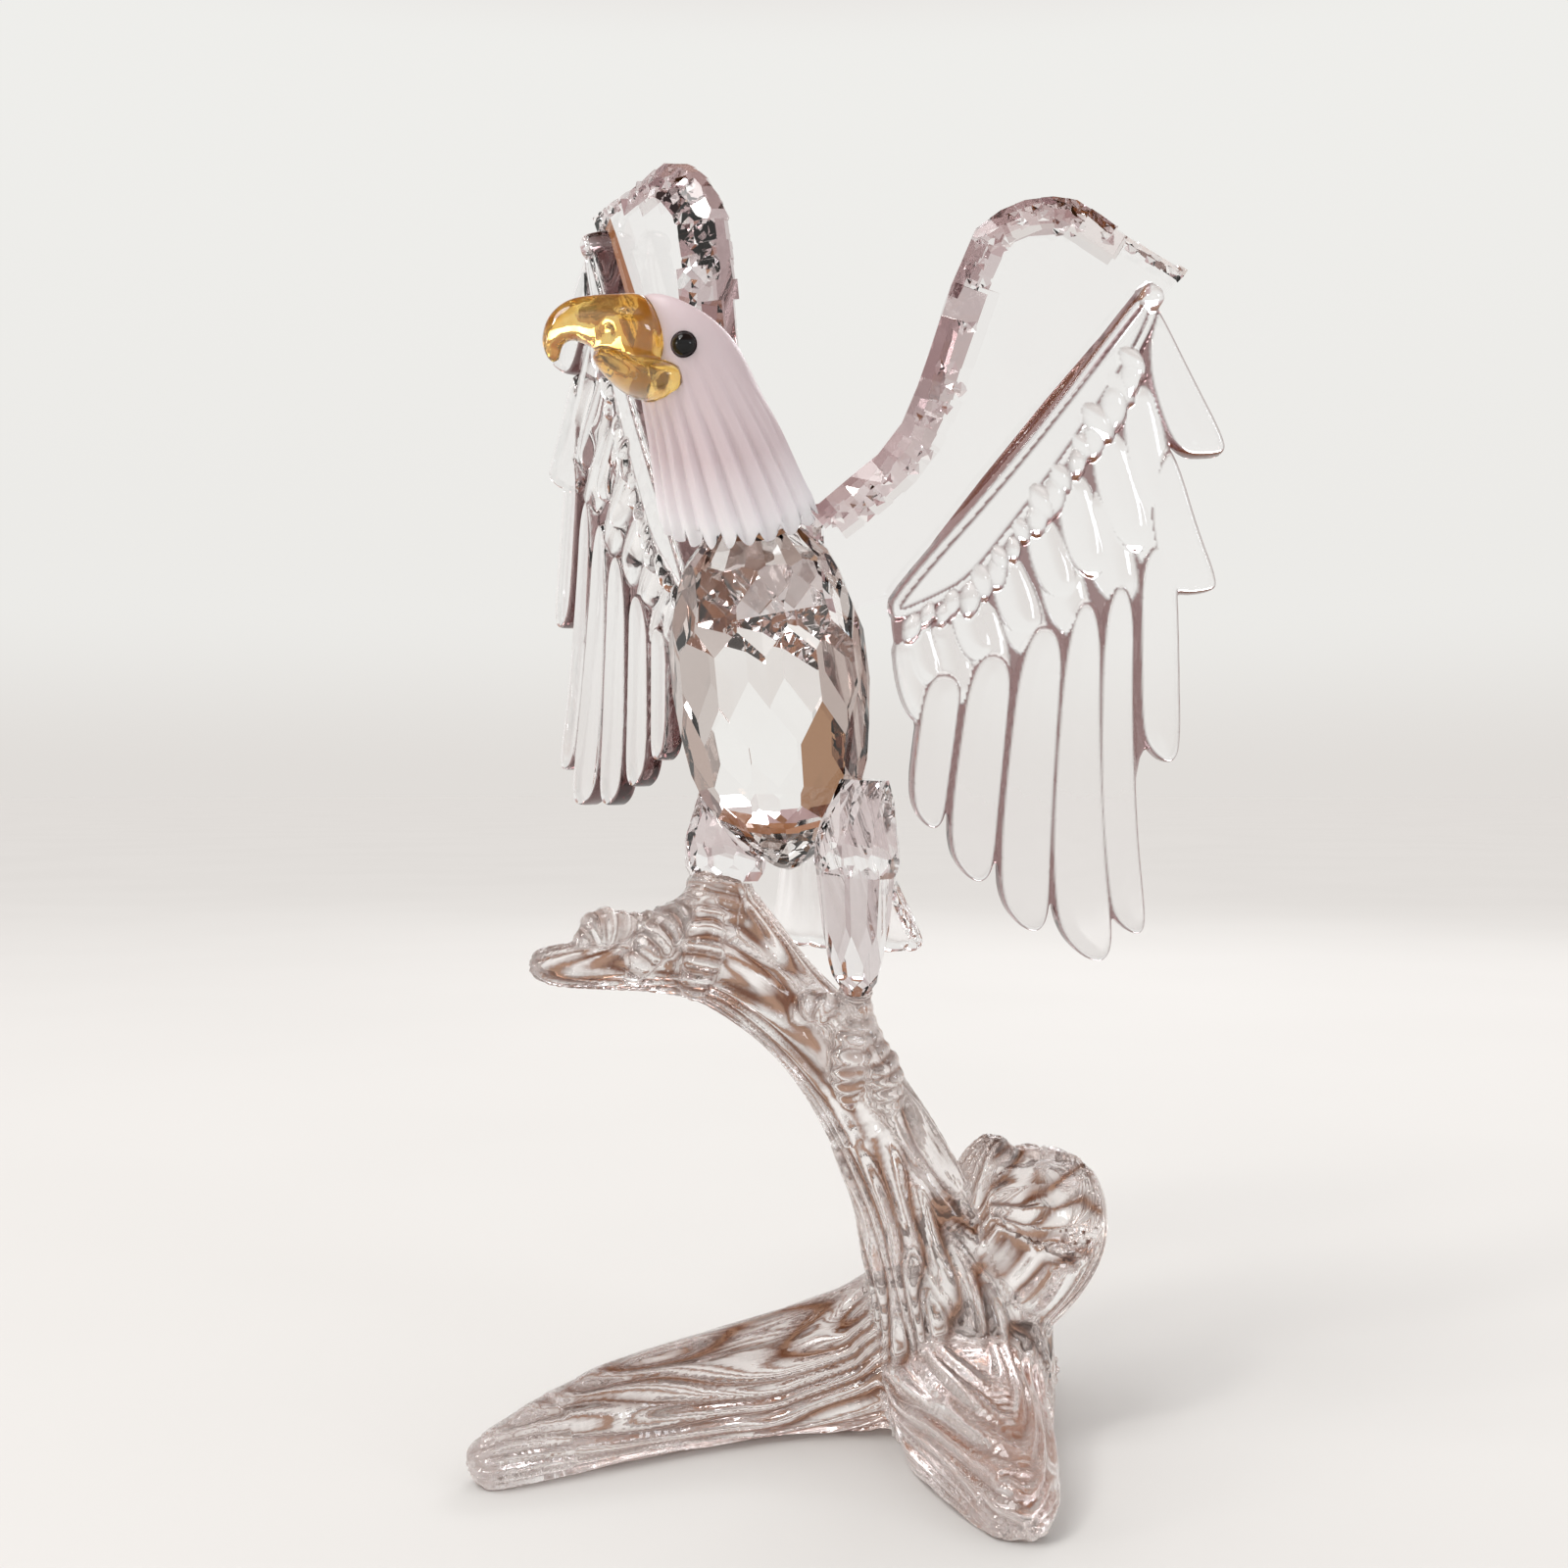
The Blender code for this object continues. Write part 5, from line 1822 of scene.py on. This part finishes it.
@dataclass
class Branch:
    """The driftwood branch, its roots and both gripping feet, one casting.

    Attributes:
        limbs: The trunk, the forked limb, the roots, the stub and the splinter.
        toes: The ankles and the toes.
        apex: Where the stub's scoop starts on the bark.
        end: Where it ends.
        scoop_facing: The direction that it opens.
        half_width: Half of its width.
        depth: How deep it is.
        scoop_flutes: How many grooves fan out in it.
        voxel: The size of the skin's faces.
        ribbon: The height of the bark's ribbons.
        middle: The ribbons' height, from 0 to 1, that leaves the skin where it is.
        pitch: The distance between them.
        rings: The distance between a toe's rings.
    """

    limbs: tuple[Limb, ...] = (
        Limb(
            (
                (-54.6, -18.5, 62.8, 1.3), (-52.0, -17.8, 62.4, 2.5), (-47.8, -16.0, 62.2, 3.0),
                (-40.8, -13.0, 62.3, 3.8), (-33.0, -10.0, 61.5, 4.9), (-26.0, -8.0, 57.2, 5.1),
                (-20.0, -6.2, 51.0, 4.9), (-14.7, -5.0, 43.4, 5.1), (-10.3, -4.0, 35.0, 6.4),
                (-6.2, -3.0, 26.5, 8.6), (-1.6, -2.0, 17.0, 11.6), (0.2, -0.5, 7.5, 11.8),
                (0.8, 0.6, -2.5, 11.2),
            ),
            9, (0.0, 1.0, 0.0), 0.9,
        ),
        Limb(
            (
                (-32.4, -6.6, 73.6, 3.6), (-30.9, -7.2, 69.0, 3.9), (-27.2, -7.6, 64.2, 3.9),
                (-22.6, -7.8, 59.3, 3.4), (-18.0, -8.0, 54.6, 3.4), (-13.2, -7.2, 47.6, 3.7),
                (-8.4, -5.6, 40.0, 4.0), (-3.4, -4.2, 31.5, 4.0),
            ),
            6, (0.0, 1.0, 0.0), 0.5,
        ),
        Limb(
            (
                (-61.2, -20.7, 2.0, 1.2), (-59.8, -19.6, 2.4, 3.3), (-53.5, -14.6, 3.4, 5.1),
                (-45.0, -8.4, 4.4, 6.7), (-35.0, -2.4, 5.0, 7.8), (-24.0, 2.0, 6.0, 8.7),
                (-13.0, 2.6, 8.6, 9.5), (-5.0, 0.6, 14.0, 9.3),
            ),
            7, (0.0, 0.0, 1.0), -0.4,
        ),
        Limb(
            (
                (2.8, -36.7, 1.6, 1.2), (2.8, -35.3, 2.2, 3.5), (2.2, -30.0, 3.4, 5.9),
                (0.8, -22.0, 4.8, 8.1), (-0.6, -13.0, 5.8, 9.7), (-0.8, -4.0, 7.2, 10.7),
            ),
            7, (0.0, 0.0, 1.0), 0.3,
        ),
        Limb(
            (
                (9.4, 21.2, 1.6, 1.0), (8.8, 20.0, 2.0, 3.1), (6.6, 14.5, 3.4, 6.3),
                (4.0, 6.0, 6.0, 9.5),
            ),
            6, (0.0, 0.0, 1.0),
        ),
        Limb(
            (
                (-1.6, -1.4, 12.0, 7.0), (3.0, -1.2, 19.0, 9.6), (7.4, -0.8, 25.4, 10.5),
                (9.2, 0.0, 29.8, 9.9), (10.2, 0.4, 33.6, 7.6), (10.6, 0.6, 36.4, 3.4),
            ),
            6, (0.0, 1.0, 0.0),
        ),
        Limb(
            (
                (2.0, -1.6, 27.0, 4.8), (2.8, -1.4, 32.0, 4.8), (3.4, -1.2, 35.6, 3.8),
                (3.8, -1.0, 38.4, 1.6),
            ),
            4, (0.0, 1.0, 0.0),
        ),
    )
    toes: tuple[Rows, ...] = (
        ((-31.4, -6.4, 74.6, 3.6), (-32.6, -8.2, 69.4, 4.3), (-33.6, -9.4, 63.4, 4.3)),
        (
            (-34.4, -9.8, 68.8, 2.8), (-38.6, -12.6, 66.8, 2.5), (-42.8, -14.6, 66.4, 2.2),
            (-46.4, -16.2, 66.8, 2.5), (-49.0, -17.4, 64.6, 0.8),
        ),
        (
            (-35.0, -10.6, 68.6, 2.4), (-38.0, -14.0, 66.8, 2.5), (-40.4, -16.0, 64.2, 2.2),
            (-42.4, -16.8, 60.4, 0.9),
        ),
        (
            (-34.0, -11.2, 68.6, 2.4), (-33.6, -14.0, 65.0, 2.4), (-34.4, -14.8, 61.0, 2.2),
            (-35.2, -14.6, 57.4, 0.9),
        ),
        (
            (-14.8, -12.2, 60.5, 1.9), (-14.9, -11.8, 56.6, 2.3), (-15.0, -10.4, 53.0, 3.3),
            (-15.0, -8.8, 48.6, 3.6),
        ),
        (
            (-15.5, -12.2, 54.8, 2.1), (-17.9, -12.6, 56.2, 2.1), (-20.4, -12.2, 56.6, 1.9),
            (-22.4, -11.2, 54.8, 0.8),
        ),
        (
            (-15.4, -12.8, 54.4, 2.2), (-15.9, -12.9, 50.8, 2.2), (-15.9, -12.0, 47.2, 2.1),
            (-15.7, -10.8, 43.8, 0.9),
        ),
        (
            (-14.3, -12.2, 54.4, 2.1), (-12.8, -12.0, 51.2, 2.2), (-11.2, -11.0, 48.4, 2.3),
            (-10.9, -9.6, 44.8, 1.9), (-11.4, -8.2, 42.0, 0.8),
        ),
    )
    apex: Point = (2.4, -10.0, 31.4)
    end: Point = (17.2, -2.0, 32.4)
    scoop_facing: Point = (0.475, -0.695, 0.54)
    half_width: float = 9.0
    depth: float = 4.4
    scoop_flutes: int = 13
    voxel: float = 0.38
    ribbon: float = 0.5
    middle: float = 0.75
    pitch: float = 2.1
    rings: float = 1.9

    def feet(self) -> list[Limb]:
        """The ankles and toes as limbs, with knuckle rings and hardly any bark."""
        look = {"depth": 0.05, "knuckles": 1.0, "bark": 0.1}
        return [Limb(points, 4, (0.3, 0.9, -0.3), **look) for points in self.toes]

    def scoop_axes(self) -> tuple[Vector, Vector, Vector, float]:
        """The directions across the scoop, out of it and along it, and half of its length."""
        reach = Vector(self.end) - Vector(self.apex)
        along = reach.normalized()
        facing = Vector(self.scoop_facing)
        facing = (facing - along * facing.dot(along)).normalized()
        return facing.cross(along), facing, along, reach.length / 2

    def scoop(self) -> BMesh:
        """The cutter for the broken stub's hollow, with grooves that fan out from its apex."""
        *axes, half = self.scoop_axes()
        bm = bmesh.new()
        bmesh.ops.create_uvsphere(bm, u_segments=132, v_segments=40, radius=1.0)
        for vert in bm.verts:
            x, y, z = vert.co
            around = math.atan2(y, x)
            groove = 1 - 0.34 * (1 - abs(math.cos(self.scoop_flutes * around / 2 + 0.9 * z)))
            step = 1 + 0.04 * math.sin(9.0 * z + 2.0 * around)
            reach = groove * step * (1 + 0.3 * z)
            vert.co = (x * (self.half_width * reach), y * (self.depth * reach), z * half)
        centre = (Vector(self.apex) + Vector(self.end)) / 2
        return placed(bm, axes_at(centre, *axes) @ Matrix.Scale(MM, 4))

    def in_scoop(self, points: np.ndarray) -> np.ndarray:
        """Tells the scoop's surface from the bark.

        Args:
            points: Places on the surface in millimetres.

        Returns:
            How much each place belongs to the scoop, from 0 to 1.
        """
        *axes, half = self.scoop_axes()
        offset = points - (np.array(self.apex) + np.array(self.end)) / 2
        x, y, z = (offset @ np.array(axis) for axis in axes)
        z = z / half
        x = x / (self.half_width * (1 + 0.3 * z))
        y = y / (self.depth * (1 + 0.3 * z))
        return np.clip((1.16 - np.sqrt(x * x + y * y + z * z)) / 0.12, 0.0, 1.0)

    def fan(self, points: np.ndarray) -> np.ndarray:
        """Draws the fine grooves that fan out in the scoop.

        Args:
            points: Places on the surface in millimetres.

        Returns:
            The height at each place, from 0 to 1.
        """
        offset = points - np.array(self.apex)
        across, _, along = (offset @ np.array(axis) for axis in self.scoop_axes()[:3])
        around = np.arctan2(across, along + 6.0)
        warp = np.array([noise.noise(point * 0.16) for point in points])
        return (0.5 + 0.5 * np.cos(26.0 * around + 5.0 * warp)) ** 0.8

    def waves(self, limb: Limb, number: int, place: np.ndarray) -> np.ndarray:
        """The height, from 0 to 1, of one limb's ribbons or a toe's rings.

        Args:
            limb: The limb.
            number: Its number, so that no two limbs look the same.
            place: Places in the limb's frame.

        Returns:
            The height at each place.
        """
        x, y, along = place.T
        warp = [noise.noise((u / 7.0, v / 7.0, s / 26.0 + 7.3 * number)) for u, v, s in place]
        warp = np.array(warp)
        across = y * (1.0 + 0.6 * (np.hypot(x, y) < 5.5))
        waves = (0.5 + 0.5 * np.cos(math.tau * (across / self.pitch + 1.9 * warp))) ** 0.75
        rings = 0.5 + 0.5 * np.cos(along * math.tau / self.rings + 0.8 * warp)
        ribbons = self.middle + limb.bark * (waves - self.middle)
        return ribbons + 0.8 * limb.knuckles * (rings - 0.5)

    def grain(self, points: np.ndarray, limbs: list[Limb]) -> tuple[np.ndarray, np.ndarray]:
        """Follows the bark's grain over the surface.

        Args:
            points: Places on the surface in millimetres.
            limbs: Every limb and toe.

        Returns:
            The ribbons' height from 0 to 1, and the place in the nearest limb's frame.
        """
        read = [limb.straightened(points) for limb in limbs]
        gaps = np.stack([gap for gap, _ in read])
        pull = np.exp(-(gaps - gaps.min(axis=0)) / 0.7)
        pull /= pull.sum(axis=0)
        ribbons = np.zeros(len(points))
        for number, (limb, (_, place)) in enumerate(zip(limbs, read)):
            near = np.flatnonzero(pull[number] > 0.03)
            ribbons[near] += pull[number][near] * self.waves(limb, number, place[near])
        scoop = self.in_scoop(points)
        ribbons = ribbons * (1 - scoop) + self.fan(points) * scoop
        owner = gaps.argmin(axis=0)
        flow = np.stack([place for _, place in read])[owner, np.arange(len(points))]
        flow[:, :2] += 40.0 * owner[:, None]
        return ribbons, flow

    def build(self) -> None:
        """Casts the branch: fuses its limbs, scoops the stub and carves the bark."""
        limbs = list(self.limbs) + self.feet()
        bm = remeshed(joined([limb.tube() for limb in limbs]), 0.5, 4)
        bm = remeshed(carved(bm, [self.scoop()]), self.voxel, 2)
        points = coordinates(bm)
        normals = np.array([vert.normal[:] for vert in bm.verts])
        raised = self.ribbon * (self.grain(points, limbs)[0] - self.middle)
        move_to(bm, points + normals * raised[:, None])
        slice_off(bm, Vector((0.0, 0.0, 0.0)), -UP)
        bm = carved(bm, LEGS.cutters())
        points = coordinates(bm)
        ribbons, flow = self.grain(points, limbs)
        flow[:, 2] *= 0.2
        # Painted shade and reflections: dark brown in the valleys between the ribbons and in soft
        # patches, more of it higher up, less on the front root.
        reflection_patches = np.array([noise.noise(point * 0.075) for point in points])
        shade = 1.12 - 1.7 * ribbons + 0.9 * np.clip(reflection_patches, 0.0, 1.0)
        depth, height = points[:, 1], points[:, 2]
        shade += 0.25 * np.clip((height - 38.0) / 15.0, 0.0, 1.0)
        shade *= 1 - 0.55 * np.clip((-10.0 - depth) / 8.0, 0.0, 1.0) * (height < 25.0)
        dressed("branch", bm, BARK_CRYSTAL, 60.0, flow * MM, np.clip(shade, 0.0, 1.0))


TORSO = Torso()
HEAD = Head()
BEAK = Beak()
EYES = Eyes()
LEGS = Legs()


@dataclass
class Studio:
    """The pale floor, the soft light and the camera.

    Attributes:
        eye: The camera's place in millimetres. It looks level along +Y.
        lens: The lens for a 36 mm wide frame, in millimetres.
        floor_radius: The floor's radius in metres.
        floor_main: The floor's colour.
        floor_drift: The colour that it drifts to in places.
        sweep: The studio's colours from the horizon up, each with the sine of its elevation.
        even: The even light that falls on the floor and on everything matt.
        aim: The point that the softboxes shine at, in metres.
        softboxes: Each softbox's place and size in metres, its power in watts and its colour.
        bounces: How often light is followed, in all and off mirror-like surfaces.
    """

    eye: Point = (-23.8, -232.0, 84.4)
    lens: float = 40.5
    floor_radius: float = 12.0
    floor_main: Point = (0.63, 0.618, 0.6)
    floor_drift: Point = (0.62, 0.608, 0.59)
    sweep: tuple[tuple[float, Point], ...] = (
        (0.0, (0.753, 0.724, 0.695)),
        (0.1, (0.84, 0.83, 0.805)),
        (0.38, (0.86, 0.855, 0.83)),
        (0.52, (0.52, 0.36, 0.36)),
        (0.68, (0.38, 0.16, 0.07)),
        (1.0, (0.26, 0.09, 0.035)),
    )
    even: Point = (0.93, 0.91, 0.9)
    aim: Point = (-0.02, 0.0, 0.08)
    softboxes: tuple[tuple[str, Point, Flat, float, Point], ...] = (
        ("key", (-0.55, -0.5, 0.7), (0.12, 0.16), 1.5, (1.0, 0.98, 0.95)),
        ("low_right", (0.7, -0.55, 0.24), (0.14, 0.2), 0.7, (0.85, 0.92, 1.0)),
        ("low_left", (-0.75, -0.3, 0.2), (0.05, 0.25), 0.9, (1.0, 0.97, 0.94)),
        ("rim", (0.2, 0.7, 0.55), (0.4, 0.16), 1.2, (0.95, 0.97, 1.0)),
    )
    bounces: tuple[int, int] = (20, 8)

    def floor(self) -> None:
        """Lays a plain pale floor under the branch."""
        bm = bmesh.new()
        bmesh.ops.create_circle(bm, cap_ends=True, segments=96, radius=self.floor_radius)
        bmesh.ops.translate(bm, verts=bm.verts[:], vec=(0.0, 0.0, -0.2 * MM))
        floor = laid_out("floor", bm, bpy.context.scene.collection)
        material = bpy.data.materials.new("pale_floor")
        material.use_nodes = True
        sheet = NodeSheet(material.node_tree)
        place = sheet.add("ShaderNodeTexCoord", {}).outputs["Object"]
        inputs = {"Main": (*self.floor_main, 1.0), "Drift": (*self.floor_drift, 1.0)}
        inputs |= {"Coordinates": place, "Scale": 6.0}
        tint = sheet.group(tint_group(), inputs)
        shader = material.node_tree.nodes["Principled BSDF"]
        sheet.feed(shader, {"Roughness": 0.8, "Specular IOR Level": 0.1, "Base Color": tint})
        floor.data.materials.append(material)

    def sky(self) -> None:
        """Surrounds the model with light that is pale low down and dim and warm above."""
        world = bpy.data.worlds.new("studio")
        bpy.context.scene.world = world
        world.use_nodes = True
        sheet = NodeSheet(world.node_tree)
        place = sheet.add("ShaderNodeTexCoord", {}).outputs["Generated"]
        split = sheet.add("ShaderNodeSeparateXYZ", {"Vector": place})
        ramp = sheet.add("ShaderNodeValToRGB", {"Fac": split.outputs["Z"]})
        ramp.color_ramp.interpolation = "EASE"
        stops = ramp.color_ramp.elements
        stops.remove(stops[1])
        stops[0].color = (*self.sweep[0][1], 1.0)
        for rise, colour in self.sweep[1:]:
            stops.new(rise).color = (*colour, 1.0)
        matt = sheet.add("ShaderNodeLightPath", {}).outputs["Is Diffuse Ray"]
        mix = sheet.mixed(matt, ramp.outputs["Color"], (*self.even, 1.0))
        sheet.feed(world.node_tree.nodes["Background"], {"Color": mix, "Strength": 1.0})

    def lamp(self, name: str, kind: str, aim: Vector, **settings: object) -> bpy.types.Object:
        """Adds a light.

        Args:
            name: Its name.
            kind: Its type.
            aim: The direction in which it shines.
            settings: Its properties by name.

        Returns:
            The light, at the origin.
        """
        light = bpy.data.lights.new(name, kind)
        for key, value in settings.items():
            setattr(light, key, value)
        lamp = bpy.data.objects.new(name, light)
        lamp.matrix_world = aim.to_track_quat("-Z", "Y").to_matrix().to_4x4()
        bpy.context.scene.collection.objects.link(lamp)
        return lamp

    def lights(self) -> None:
        """Hangs the even daylight and the softboxes, which the camera doesn't see."""
        daylight = Vector((0.5, 0.35, -1.0))
        self.lamp("daylight", "SUN", daylight, energy=1.1, angle=math.radians(30.0))
        for name, place, (width, height), power, colour in self.softboxes:
            aim = Vector(self.aim) - Vector(place)
            look = {"size": width, "size_y": height, "energy": power, "color": colour}
            lamp = self.lamp(name, "AREA", aim, shape="RECTANGLE", **look)
            lamp.location = place
            lamp.visible_camera = False

    def camera(self) -> None:
        """Sets the camera where the picture is taken from."""
        data = bpy.data.cameras.new("camera")
        data.lens = self.lens
        data.sensor_width = 36.0
        data.clip_start = 0.01
        data.clip_end = 50.0
        camera = bpy.data.objects.new("camera", data)
        level = Matrix.Rotation(math.pi / 2, 4, "X")
        camera.matrix_world = Matrix.Translation(mm(self.eye)) @ level
        bpy.context.scene.collection.objects.link(camera)
        bpy.context.scene.camera = camera

    def build(self) -> None:
        """Sets up the whole studio."""
        self.floor()
        self.sky()
        self.lights()
        self.camera()
        scene = bpy.context.scene
        scene.view_settings.view_transform = "Standard"
        scene.cycles.max_bounces = scene.cycles.transmission_bounces = self.bounces[0]
        scene.cycles.glossy_bounces = self.bounces[1]


def main() -> None:
    """Builds the eagle piece by piece and sets it in the studio."""
    logging.basicConfig(level=logging.INFO, format="%(name)s %(message)s")
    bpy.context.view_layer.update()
    TORSO.build()
    HEAD.build([*BEAK.cutters(), EYES.socket(1), EYES.socket(-1)])
    BEAK.build()
    EYES.build()
    LEGS.build()
    Tail().build()
    ArmPlate().build()
    FeatherPlate().build()
    Branch().build()
    Studio().build()
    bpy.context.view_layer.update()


if __name__ == "__main__":
    main()
